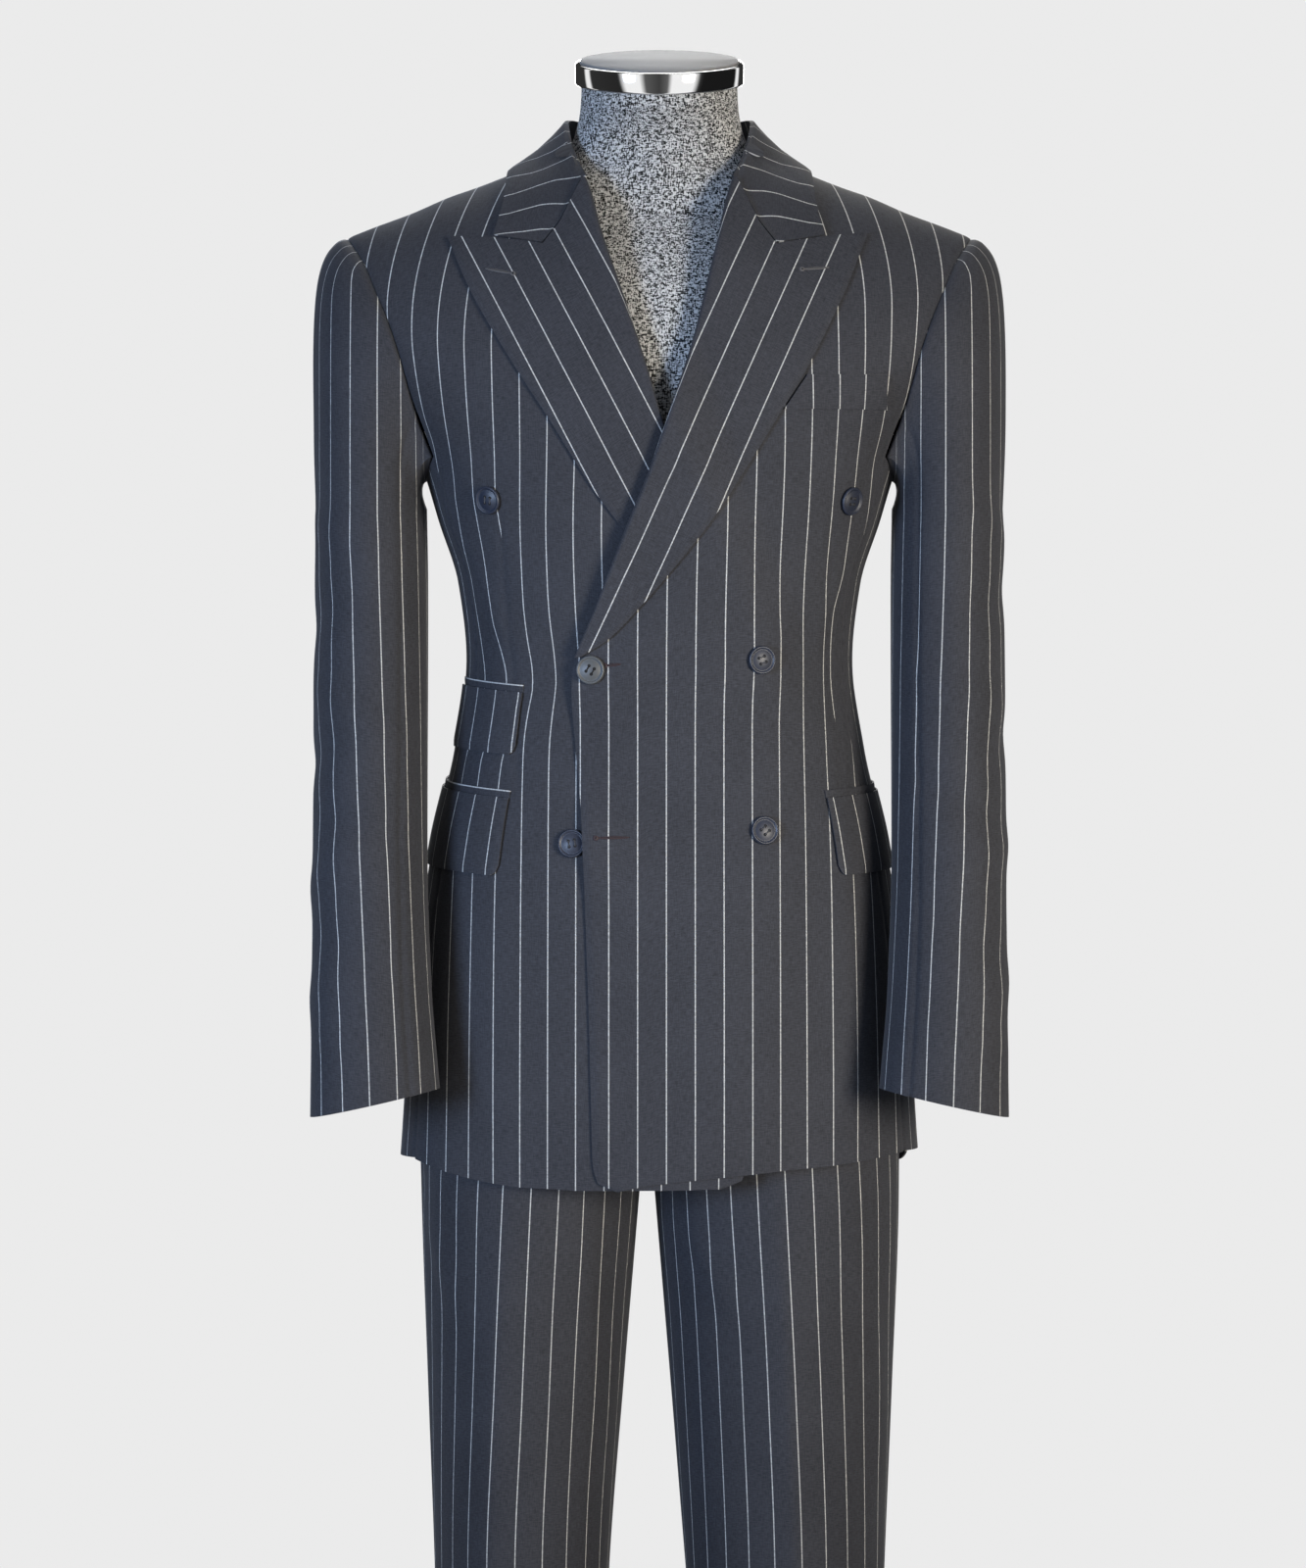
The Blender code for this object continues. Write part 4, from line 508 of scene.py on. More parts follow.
LEG_CREASES = (
    Crease(0.100, 0.735, 62.0, 0.060, 0.014, -0.0022),
    Crease(0.070, 0.700, 48.0, 0.055, 0.014, 0.0020),
    Crease(-0.080, 0.640, 80.0, 0.090, 0.018, 0.0016),
    Crease(0.050, 0.420, -30.0, 0.060, 0.016, -0.0018),
    Crease(-0.060, 0.380, 26.0, 0.060, 0.016, 0.0016),
    Crease(0.020, 0.115, -14.0, 0.055, 0.014, 0.0024),
    Crease(-0.040, 0.085, 10.0, 0.055, 0.013, -0.0024),
    Crease(0.150, 0.400, 30.0, 0.070, 0.016, -0.0020),
    Crease(-0.160, 0.430, -24.0, 0.070, 0.016, -0.0020),
    Crease(0.190, 0.720, 70.0, 0.080, 0.016, 0.0024),
)

# Places where strain draws the stripes aside, in the front's own x and height
StripePull = namedtuple("StripePull", "x z width height aside")
STRIPE_PULLS = {
    1: (StripePull(0.100, 1.300, 0.120, 0.090, -0.0042),),
    -1: (
        StripePull(0.098, 1.130, 0.035, 0.033, 0.0075),
        StripePull(0.060, 1.235, 0.080, 0.060, -0.0022),
    ),
}

# Where each front dart runs, and how much cloth it has taken out there
DartRow = namedtuple("DartRow", "z x taken")
DART_ROWS = {
    1: (
        DartRow(1.000, 0.1345, 0.0000), DartRow(1.044, 0.1345, 0.0110), DartRow(1.088, 0.1330, 0.0085),
        DartRow(1.100, 0.1300, 0.0095), DartRow(1.130, 0.1262, 0.0120), DartRow(1.176, 0.1262, 0.0115),
        DartRow(1.210, 0.1270, 0.0030), DartRow(1.262, 0.1280, 0.0000),
    ),
    -1: (
        DartRow(1.044, 0.1050, 0.0000), DartRow(1.070, 0.1055, 0.0030), DartRow(1.100, 0.1067, 0.0180),
        DartRow(1.124, 0.1080, 0.0200), DartRow(1.150, 0.1100, 0.0170), DartRow(1.194, 0.1145, 0.0100),
        DartRow(1.233, 0.1168, 0.0045), DartRow(1.262, 0.1180, 0.0000),
    ),
}

SUIT_WORD = {1: "left", -1: "right"}


class Curve:
    """A smooth line through a table's rows that never swings past them."""

    def __init__(self, rows, key, value):
        ordered = sorted(rows, key=lambda row: getattr(row, key))
        self.at = np.array([getattr(row, key) for row in ordered])
        self.values = np.array([getattr(row, value) for row in ordered])
        self.spans = np.diff(self.at)
        steps = np.diff(self.values) / self.spans
        before, after = steps[:-1], steps[1:]
        same_way = before * after > 0.0
        total = np.where(same_way, before + after, 1.0)
        inner = np.where(same_way, 2.0 * before * after / total, 0.0)
        self.slopes = np.concatenate([steps[:1], inner, steps[-1:]])

    def __call__(self, key):
        key = np.clip(key, self.at[0], self.at[-1])
        i = np.clip(np.searchsorted(self.at, key, side="right") - 1, 0, len(self.spans) - 1)
        span = self.spans[i]
        u = (key - self.at[i]) / span
        rest = 1.0 - u
        return (
            (1.0 + 2.0 * u) * rest * rest * self.values[i]
            + u * rest * rest * span * self.slopes[i]
            + u * u * (3.0 - 2.0 * u) * self.values[i + 1]
            - u * u * rest * span * self.slopes[i + 1]
        )


def blend(low, high, part):
    return low + (high - low) * part


def soft_step(value):
    value = np.clip(value, 0.0, 1.0)
    return value * value * (3.0 - 2.0 * value)


def signed_power(value, power):
    return np.abs(value) ** power * np.sign(value)


def vectors(x, y, z):
    return np.stack(np.broadcast_arrays(x, y, z), axis=-1)


def unit(directions):
    return directions / np.maximum(np.linalg.norm(directions, axis=-1, keepdims=True), 1e-12)


jacket_half_width = Curve(JACKET_SECTIONS, "z", "half_width")
jacket_front = Curve(JACKET_SECTIONS, "z", "front")
jacket_back = Curve(JACKET_SECTIONS, "z", "back")
shoulder_ridge = Curve(SHOULDER_RIDGE, "x", "z")
armhole_x = Curve(ARMHOLE, "z", "x")
edge_x = {1: Curve(LEFT_EDGE, "z", "x"), -1: Curve(RIGHT_EDGE, "z", "x")}
front_hem = {1: Curve(LEFT_HEM, "x", "z"), -1: Curve(RIGHT_HEM, "x", "z")}
dart_x = {side: Curve(rows, "z", "x") for side, rows in DART_ROWS.items()}
dart_intake = {side: Curve(rows, "z", "taken") for side, rows in DART_ROWS.items()}
back_neck_tip = Curve([row for row in NECK_SEAM if row.tip <= 0.0], "x", "tip")


def body_point(turn, level):
    """Points of the jacket's outside, by the angle round the body and the level."""
    s = signed_power(np.sin(np.radians(turn)), 2.0 / ROUNDNESS)
    c = signed_power(np.cos(np.radians(turn)), 2.0 / ROUNDNESS)
    climb = np.clip((level - CHEST_LEVEL) / CLIMB_SCALE, 0.0, pi / 2.0)
    z = np.minimum(level, CHEST_LEVEL) + 0.0 * s
    x = s * jacket_half_width(z)
    above = climb > 0.0
    for _ in range(9):
        z = np.where(above, blend(CHEST_LEVEL, shoulder_ridge(np.abs(x)), np.sin(climb)), z)
        x = s * jacket_half_width(z)
    depth = np.where(c > 0.0, jacket_front(z), jacket_back(z))
    return vectors(x, -c * depth * np.cos(climb), z)


def place_of(x, z, back=False):
    """The turn and the level of the jacket's points at this x and height."""
    share = np.minimum(np.abs(x) / jacket_half_width(z), 1.0)
    turn = np.degrees(np.arcsin(share ** (ROUNDNESS / 2.0)))
    turn = np.where(back, 180.0 - turn, turn)
    turn = np.where(x < 0.0, -turn, turn)
    rise = (z - CHEST_LEVEL) / (shoulder_ridge(np.abs(x)) - CHEST_LEVEL)
    climb = np.arcsin(np.clip(rise, 0.0, 1.0))
    return turn, np.where(z <= CHEST_LEVEL, z, CHEST_LEVEL + climb * CLIMB_SCALE)


def body_normal(turn, level):
    step_turn = 0.4
    step_level = 0.0008
    level = np.minimum(level, CHEST_LEVEL + CLIMB_SCALE * pi / 2.0 - step_level)
    around = body_point(turn + step_turn, level) - body_point(turn - step_turn, level)
    up = body_point(turn, level + step_level) - body_point(turn, level - step_level)
    return unit(np.cross(around, up))


def crease_height(creases, across, up):
    total = np.zeros(np.broadcast(across, up).shape)
    for crease in creases:
        c, s = cos(radians(crease.slope)), sin(radians(crease.slope))
        aside, over = across - crease.across, up - crease.up
        along = aside * c + over * s
        off = over * c - aside * s
        total += crease.height * np.exp(-(off / crease.width) ** 2 - (along / crease.length) ** 4)
    return total


def jacket_crease(turn, level):
    return crease_height(JACKET_CREASES, np.radians(turn) * ARC_RADIUS, level)


def on_body(turn, level, lift):
    """Points off the jacket's outside, with its creases."""
    height = lift + jacket_crease(turn, level)
    return body_point(turn, level) + body_normal(turn, level) * height[..., None]


def arc_to(turn, level, start=0.0, steps=28):
    """The level way round the body from a start angle to each point."""
    total = 0.0
    before = body_point(start + 0.0 * turn, level)
    for i in range(1, steps + 1):
        after = body_point(blend(start, turn, i / steps), level)
        total = total + np.linalg.norm((after - before)[..., :2], axis=-1)
        before = after
    return total * np.sign(turn - start)


def stripe_pull(side, x, z):
    """How far strain has drawn the stripes aside where the coat is closed."""
    total = 0.0 * x
    for pull in STRIPE_PULLS[side]:
        away = ((x - pull.x) / pull.width) ** 2 + ((z - pull.z) / pull.height) ** 2
        total = total + pull.aside * np.exp(-away)
    return total


def front_cloth(side, turn, level):
    """The cloth's own place across the stripes, for points of a front."""
    point = body_point(side * turn, level)
    x, z = side * point[..., 0], point[..., 2]
    arc = side * arc_to(side * turn, level)
    phase = FRONT_LEFT_PHASE if side > 0 else FRONT_RIGHT_PHASE
    lean = SHOULDER_LEAN[side] * np.maximum(z - SHOULDER_LEAN_FROM[side], 0.0) ** 2
    return arc + phase + lean + stripe_pull(side, x, z)


def overlap_lift(x, z):
    """How far the left front stands off the body where it laps over the right front."""
    under = -edge_x[-1](z)
    ramp = 1.0 - soft_step((x - under - OVERLAP_MARGIN) / OVERLAP_RAMP)
    on_lapel = soft_step((z - OVERLAP_STEP_LEVEL) / OVERLAP_STEP_HEIGHT)
    stack = blend(OVERLAP_LIFT, OVERLAP_LIFT_ON_LAPEL, on_lapel)
    away = (x + HIDDEN_BUTTON.x - BUTTON_BULGE_SHIFT) ** 2 + (z - HIDDEN_BUTTON.z) ** 2
    return stack * ramp + BUTTON_BULGE * np.exp(-away / BUTTON_BULGE_RADIUS ** 2)


def on_front(side, x, z, lift):
    if side > 0:
        lift = lift + overlap_lift(x, z)
    turn, level = place_of(side * x, z)
    return on_body(turn, level, lift)


def climb_height(x, climb):
    return blend(CHEST_LEVEL, shoulder_ridge(np.abs(x)), np.sin(climb))


def turn_of(x, z):
    share = signed_power(x / jacket_half_width(z), ROUNDNESS / 2.0)
    return np.degrees(np.arcsin(np.clip(share, -1.0, 1.0)))


def meet(curve, climb, start):
    x = start + 0.0 * climb
    for _ in range(20):
        x = curve(climb_height(x, climb))
    return x


def armhole_level(turn):
    off = (np.abs(turn) - 90.0) / (90.0 - FRONT_SEAM_TURN)
    return blend(ARMPIT_LEVEL, CHEST_LEVEL, np.minimum(off * off, 1.0))


def back_seam_turn(level):
    part = np.clip((level - BACK_HEM) / (CHEST_LEVEL - BACK_HEM), 0.0, 1.0)
    return blend(BACK_SEAM_TURN_HEM, BACK_SEAM_TURN_TOP, part)


def vent_gap(level):
    part = np.clip((VENT_TOP - level) / (VENT_TOP - BACK_HEM), 0.0, 1.0)
    return VENT_OPENING / 2.0 * part


def corner_rise(distance, radius):
    short = np.maximum(radius - distance, 0.0)
    return radius - np.sqrt(np.maximum(radius ** 2 - short ** 2, 0.0))


def eased(u, amount=0.5):
    return u - amount * np.sin(2.0 * pi * u) / (2.0 * pi)


def along_line(points):
    """The way from the first point of a line to each of its points."""
    steps = np.linalg.norm(np.diff(points, axis=0), axis=-1)
    return np.concatenate([[0.0], np.cumsum(steps)])


def along_rows(points):
    """The same for each row of a grid of points."""
    steps = np.linalg.norm(np.diff(points, axis=1), axis=-1)
    return np.concatenate([np.zeros((len(points), 1)), np.cumsum(steps, axis=1)], axis=1)


def seam_dip(distance, depth=0.0007, reach=0.0028):
    return -depth * np.exp(-(distance / reach) ** 2)


# Materials

def shader_of(material):
    return material.node_tree.nodes["Principled BSDF"]


def plain_material(name, colour, roughness, metallic=0.0):
    material = bpy.data.materials.new(name)
    material.use_nodes = True
    shader = shader_of(material)
    shader.inputs["Base Color"].default_value = (*colour, 1.0)
    shader.inputs["Roughness"].default_value = roughness
    shader.inputs["Metallic"].default_value = metallic
    return material


def new_group(name, inputs, outputs):
    group = bpy.data.node_groups.new(name, "ShaderNodeTree")
    for label, kind, value in inputs:
        socket = group.interface.new_socket(label, in_out="INPUT", socket_type=kind)
        if value is not None:
            socket.default_value = value
    for label, kind in outputs:
        group.interface.new_socket(label, in_out="OUTPUT", socket_type=kind)
    return group, group.nodes.new("NodeGroupInput"), group.nodes.new("NodeGroupOutput")


def math_node(tree, operation, first, second=None):
    node = tree.nodes.new("ShaderNodeMath")
    node.operation = operation
    for socket, value in zip(node.inputs, (first, second)):
        if value is None:
            continue
        if isinstance(value, (int, float)):
            socket.default_value = value
        else:
            tree.links.new(value, socket)
    return node.outputs[0]


def noise_node(tree, vector, scale, detail=2.0, roughness=0.5):
    node = tree.nodes.new("ShaderNodeTexNoise")
    node.inputs["Scale"].default_value = scale
    node.inputs["Detail"].default_value = detail
    node.inputs["Roughness"].default_value = roughness
    tree.links.new(vector, node.inputs["Vector"])
    return node.outputs["Fac"]


def scaled_vector(tree, vector, factors):
    node = tree.nodes.new("ShaderNodeVectorMath")
    node.operation = "MULTIPLY"
    tree.links.new(vector, node.inputs[0])
    node.inputs[1].default_value = factors
    return node.outputs[0]


def mix_colour(tree, part, first, second):
    node = tree.nodes.new("ShaderNodeMix")
    node.data_type = "RGBA"
    for socket, value in ((node.inputs["Factor"], part), (node.inputs[6], first), (node.inputs[7], second)):
        if hasattr(value, "links"):
            tree.links.new(value, socket)
        else:
            socket.default_value = value
    return node.outputs[2]


def ranged(tree, value, low, high, to_low, to_high, smooth=False):
    node = tree.nodes.new("ShaderNodeMapRange")
    node.interpolation_type = "SMOOTHSTEP" if smooth else "LINEAR"
    tree.links.new(value, node.inputs["Value"])
    for label, number in (("From Min", low), ("From Max", high), ("To Min", to_low), ("To Max", to_high)):
        node.inputs[label].default_value = number
    return node.outputs["Result"]


def mixed_values(tree, first, first_share, second, second_share):
    first_part = math_node(tree, "MULTIPLY", first, first_share)
    second_part = math_node(tree, "MULTIPLY", second, second_share)
    return math_node(tree, "ADD", first_part, second_part)


def weave_group():
    """Worsted yarns: uneven threads across and along the cloth, and a slow change of shade."""
    group, start, end = new_group(
        "Worsted weave",
        [("Cloth", "NodeSocketVector", None)],
        [("Shade", "NodeSocketFloat"), ("Height", "NodeSocketFloat")],
    )
    cloth = start.outputs["Cloth"]
    slub = noise_node(group, scaled_vector(group, cloth, (210.0, 1150.0, 1.0)), 1.0, 3.0, 0.6)
    warp = noise_node(group, scaled_vector(group, cloth, (1300.0, 160.0, 1.0)), 1.0, 2.0, 0.5)
    nap = noise_node(group, cloth, 16.0, 2.0, 0.5)
    yarns = mixed_values(group, slub, 0.62, warp, 0.38)
    uneven = ranged(group, yarns, 0.36, 0.64, -0.5, 0.5)
    shade = math_node(group, "ADD", uneven, ranged(group, nap, 0.3, 0.7, -0.12, 0.12))
    group.links.new(shade, end.inputs["Shade"])
    group.links.new(yarns, end.inputs["Height"])
    return group


def pinstripe_group(weave):
    """Cloth of one colour with a fine pale stripe every period along its grain."""
    group, start, end = new_group(
        "Pinstripe",
        [
            ("Cloth", "NodeSocketVector", None),
            ("Ground", "NodeSocketColor", (0.04, 0.045, 0.06, 1.0)),
            ("Stripe", "NodeSocketColor", (0.5, 0.5, 0.5, 1.0)),
            ("Period", "NodeSocketFloat", STRIPE_PERIOD),
            ("Width", "NodeSocketFloat", STRIPE_WIDTH),
        ],
        [("Color", "NodeSocketColor"), ("Height", "NodeSocketFloat")],
    )
    cloth = start.outputs["Cloth"]
    threads = group.nodes.new("ShaderNodeGroup")
    threads.node_tree = weave
    group.links.new(cloth, threads.inputs["Cloth"])
    split = group.nodes.new("ShaderNodeSeparateXYZ")
    group.links.new(cloth, split.inputs[0])
    share = math_node(group, "DIVIDE", split.outputs["X"], start.outputs["Period"])
    centred = math_node(group, "FRACT", math_node(group, "ADD", share, 0.5))
    off = math_node(group, "ABSOLUTE", math_node(group, "SUBTRACT", centred, 0.5))
    distance = math_node(group, "MULTIPLY", off, start.outputs["Period"])
    line = math_node(group, "DIVIDE", distance, start.outputs["Width"])
    mask = ranged(group, line, 0.30, 0.66, 1.0, 0.0, True)
    dashes = noise_node(group, scaled_vector(group, cloth, (60.0, 620.0, 1.0)), 1.0, 2.0, 0.6)
    mask = math_node(group, "MULTIPLY", mask, ranged(group, dashes, 0.32, 0.62, 0.55, 1.0))
    value = ranged(group, threads.outputs["Shade"], -0.5, 0.5, 0.62, 1.40)
    ground = group.nodes.new("ShaderNodeVectorMath")
    ground.operation = "SCALE"
    group.links.new(start.outputs["Ground"], ground.inputs[0])
    group.links.new(value, ground.inputs["Scale"])
    colour = mix_colour(group, mask, ground.outputs[0], start.outputs["Stripe"])
    group.links.new(colour, end.inputs["Color"])
    height = math_node(group, "ADD", threads.outputs["Height"], math_node(group, "MULTIPLY", mask, 0.4))
    group.links.new(height, end.inputs["Height"])
    return group


def heather_group():
    """Cloth spun from black and white fibres: short flecks that lie level and upright."""
    group, start, end = new_group(
        "Heather",
        [
            ("Place", "NodeSocketVector", None),
            ("Dark", "NodeSocketColor", (0.02, 0.02, 0.02, 1.0)),
            ("Pale", "NodeSocketColor", (0.6, 0.6, 0.6, 1.0)),
        ],
        [("Color", "NodeSocketColor"), ("Height", "NodeSocketFloat")],
    )
    place = start.outputs["Place"]
    level = noise_node(group, scaled_vector(group, place, (330.0, 330.0, 1050.0)), 1.0, 2.0, 0.6)
    upright = noise_node(group, scaled_vector(group, place, (1050.0, 1050.0, 330.0)), 1.0, 2.0, 0.6)
    both = mixed_values(group, level, 0.5, upright, 0.5)
    part = ranged(group, both, 0.46, 0.55, 0.0, 1.0)
    colour = mix_colour(group, part, start.outputs["Dark"], start.outputs["Pale"])
    group.links.new(colour, end.inputs["Color"])
    group.links.new(both, end.inputs["Height"])
    return group


def put_group(material, group, coordinate, socket, bump_distance, bump_strength):
    tree = material.node_tree
    node = tree.nodes.new("ShaderNodeGroup")
    node.node_tree = group
    tree.links.new(coordinate, node.inputs[socket])
    shader = shader_of(material)
    tree.links.new(node.outputs["Color"], shader.inputs["Base Color"])
    bump = tree.nodes.new("ShaderNodeBump")
    bump.inputs["Distance"].default_value = bump_distance
    bump.inputs["Strength"].default_value = bump_strength
    tree.links.new(node.outputs["Height"], bump.inputs["Height"])
    tree.links.new(bump.outputs["Normal"], shader.inputs["Normal"])
    return node


def suiting_material(group):
    material = plain_material("Pinstriped worsted", (0.04, 0.045, 0.06), 0.78)
    cut = material.node_tree.nodes.new("ShaderNodeUVMap")
    cut.uv_map = "Cut"
    node = put_group(material, group, cut.outputs["UV"], "Cloth", 0.0004, 0.35)
    node.inputs["Ground"].default_value = (0.0290, 0.0300, 0.0368, 1.0)
    node.inputs["Stripe"].default_value = (0.500, 0.500, 0.490, 1.0)
    shader = shader_of(material)
    shader.inputs["Sheen Weight"].default_value = 0.10
    shader.inputs["Sheen Roughness"].default_value = 0.45
    shader.inputs["Specular IOR Level"].default_value = 0.25
    return material


def heather_material(group):
    material = plain_material("Heather cover", (0.2, 0.2, 0.2), 0.9)
    place = material.node_tree.nodes.new("ShaderNodeTexCoord")
    node = put_group(material, group, place.outputs["Object"], "Place", 0.0004, 0.3)
    node.inputs["Dark"].default_value = (0.012, 0.012, 0.012, 1.0)
    node.inputs["Pale"].default_value = (0.560, 0.560, 0.560, 1.0)
    shader_of(material).inputs["Specular IOR Level"].default_value = 0.2
    return material


WEAVE = weave_group()
SUITING = suiting_material(pinstripe_group(WEAVE))
HEATHER = heather_material(heather_group())
HORN = plain_material("Navy horn", (0.017, 0.021, 0.036), 0.45)
HORN_PALE = plain_material("Grey horn", (0.072, 0.075, 0.077), 0.45)
# Near-black painted shade: the dark inside of the buttons' holes and the buttonholes' slits, also put on the
# fastened button's thread
HOLE_SHADE = plain_material("Painted hole shade", (0.004, 0.004, 0.005), 0.9)
THREAD = plain_material("Navy thread", (0.030, 0.032, 0.040), 0.7)
THREAD_GREY = plain_material("Grey thread", (0.075, 0.072, 0.074), 0.7)
THREAD_RED = plain_material("Dull red thread", (0.024, 0.010, 0.013), 0.7)
CHROME = plain_material("Polished chrome", (0.90, 0.90, 0.90), 0.05, 1.0)
SATIN = plain_material("Satin steel", (0.215, 0.215, 0.215), 0.60)
STEEL = plain_material("Stand steel", (0.45, 0.45, 0.46), 0.32, 1.0)


# Pieces

def finished_mesh(name, bm, sharp_angle):
    mesh = bpy.data.meshes.new(name)
    bm.to_mesh(mesh)
    bm.free()
    mesh.shade_smooth()
    mesh.set_sharp_from_angle(angle=radians(sharp_angle))
    return mesh


def show(name, mesh, materials, nodes):
    for material in materials:
        mesh.materials.append(material)
    piece = bpy.data.objects.new(name, mesh)
    bpy.context.scene.collection.objects.link(piece)
    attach(piece, "root")
    if nodes:
        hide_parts(*nodes)
    return piece


def cloth_mesh(name, columns, rows, surface, outwards, wall, closed=False, dart_column=0):
    """A shell on a grid: surface(u, v) gives its points, its cut places and its heights.

    Past a dart's column a third number in the cut places is added across the stripes.
    """
    bm = bmesh.new()
    bmesh.ops.create_grid(bm, x_segments=columns, y_segments=rows, size=1.0)
    u, v = np.meshgrid(np.linspace(0.0, 1.0, columns + 1), np.linspace(0.0, 1.0, rows + 1))
    points, cloth, height = surface(u, v)
    across = np.gradient(points, axis=1)
    if closed:
        across[:, 0] = across[:, -1] = points[:, 1] - points[:, -2]
    normals = unit(np.cross(across, np.gradient(points, axis=0)))
    facing = (normals * outwards(points)).sum(axis=-1)
    if facing.mean() < 0.0:
        normals = -normals
    points = points + normals * np.broadcast_to(height, u.shape)[..., None]
    column = [round((vert.co.x + 1.0) / 2.0 * columns) for vert in bm.verts]
    row = [round((vert.co.y + 1.0) / 2.0 * rows) for vert in bm.verts]
    cut = bm.loops.layers.uv.new("Cut")
    for face in bm.faces:
        past_dart = dart_column > 0 and min(column[vert.index] for vert in face.verts) >= dart_column
        for loop in face.loops:
            place = cloth[row[loop.vert.index], column[loop.vert.index]]
            loop[cut].uv = (place[0] + (place[2] if past_dart else 0.0), place[1])
    for vert, j, i in zip(bm.verts, row, column):
        vert.co = points[j, i]
    if closed:
        bmesh.ops.remove_doubles(bm, verts=bm.verts, dist=SAME_POINT)
    bm.normal_update()
    facing = sum(
        face.normal.dot(Vector(outwards(np.array(face.calc_center_median())))) * face.calc_area()
        for face in bm.faces
    )
    if facing < 0.0:
        bmesh.ops.reverse_faces(bm, faces=bm.faces)
    flat = cut_of(bm, cut)
    bmesh.ops.solidify(bm, geom=bm.faces[:], thickness=wall)
    return finished_mesh(name, bm, SHARP_ANGLE), flat


def cut_of(bm, cut):
    """The width, length and area of the flat cut, read from its places on the cloth."""
    places = np.array([[loop[cut].uv[:] for loop in face.loops] for face in bm.faces])
    low = places.reshape(-1, 2).min(axis=0)
    high = places.reshape(-1, 2).max(axis=0)
    ahead = np.roll(places, -1, axis=1)
    area = np.abs((places[..., 0] * ahead[..., 1] - places[..., 1] * ahead[..., 0]).sum(axis=1)).sum() / 2.0
    return float(high[0] - low[0]), float(high[1] - low[1]), float(area)


def add_cloth(name, columns, rows, surface, outwards, held, rests_on, wall=WALL, **more):
    mesh, (width, length, area) = cloth_mesh(name, columns, rows, surface, outwards, wall, **more)
    piece = show(name + "_cloth", mesh, [SUITING], [name])
    width = max(width, NARROWEST_CUT)
    return piece


def from_body(points):
    return points * np.array([1.0, 1.0, 0.0])


def up_the_cloth(points, start):
    """The way up each column from its first row."""
    steps = np.linalg.norm(np.diff(points, axis=0), axis=-1)
    return start + np.concatenate([np.zeros((1, points.shape[1])), np.cumsum(steps, axis=0)])


# The rows below the chest take this share of v; the power draws those above together at the neck
LOW_SHARE = 0.60
HIGH_ROWS_POWER = 1.15


def row_place(v):
    rise = np.minimum(v / LOW_SHARE, 1.0)
    rest = np.clip((1.0 - v) / (1.0 - LOW_SHARE), 0.0, 1.0)
    return rise, pi / 2.0 * (1.0 - rest ** HIGH_ROWS_POWER)


def add_front(side):
    edge = edge_x[side]
    hem = front_hem[side]

    def surface(u, v):
        column = np.round(u * FRONT_COLUMNS)
        before = eased(np.minimum(column / DART_COLUMN, 1.0), GENTLE_EASE)
        after = np.maximum((column - DART_COLUMN) / (FRONT_COLUMNS - DART_COLUMN), 0.0)

        def spread(first, middle, last):
            return np.where(column <= DART_COLUMN, blend(first, middle, before), blend(middle, last, after))

        rise, climb = row_place(v)
        x = edge(BACK_HEM + 0.0 * v)
        for _ in range(10):
            z = blend(hem(x), CHEST_LEVEL, rise)
            x = edge(z)
        first = turn_of(x, z)
        for _ in range(8):
            low_turn = spread(first, turn_of(dart_x[side](z), z), FRONT_SEAM_TURN)
            x = jacket_half_width(z) * signed_power(np.sin(np.radians(low_turn)), 2.0 / ROUNDNESS)
            z = blend(hem(x), CHEST_LEVEL, rise)
        inner_x = meet(edge, climb, NECK_POINT_X)
        outer_x = meet(armhole_x, climb, ARMHOLE[-1].x)
        inner = turn_of(inner_x, climb_height(inner_x, climb))
        outer = turn_of(outer_x, climb_height(outer_x, climb))
        dart_top_x = dart_x[side](DART_TOP + 0.0 * climb)
        dart = turn_of(dart_top_x, climb_height(dart_top_x, climb))
        high = climb > 0.0
        turn = np.where(high, spread(inner, dart, outer), low_turn)
        level = np.where(high, CHEST_LEVEL + climb * CLIMB_SCALE, z)
        base = body_point(side * turn, level)
        lift = overlap_lift(base[..., 0], base[..., 2]) if side > 0 else 0.0
        x, z = side * base[..., 0], base[..., 2]
        seam = np.radians(turn[:, -1:] - turn) * ARC_RADIUS
        edge_off = np.radians(turn - turn[:, :1]) * ARC_RADIUS
        on_dart = soft_step((DART_TOP - z) / DART_FADE_TOP)
        on_dart = on_dart * soft_step((z - DART_POCKET) / DART_FADE_POCKET)
        height = seam_dip(seam) + seam_dip(edge_off, EDGE_ROLL_DEPTH, EDGE_ROLL_REACH)
        height = height + on_dart * seam_dip(x - dart_x[side](z), DART_DEPTH, DART_REACH)
        height = height + lift + jacket_crease(side * turn, level)
        up = up_the_cloth(base, base[0, :, 2])
        cloth = np.stack([front_cloth(side, turn, level), up, dart_intake[side](z)], axis=-1)
        return base, cloth, height

    add_cloth(
        "jacket_front_" + SUIT_WORD[side], FRONT_COLUMNS, 150, surface, from_body,
        "draped", ["form_cover"], dart_column=DART_COLUMN,
    )


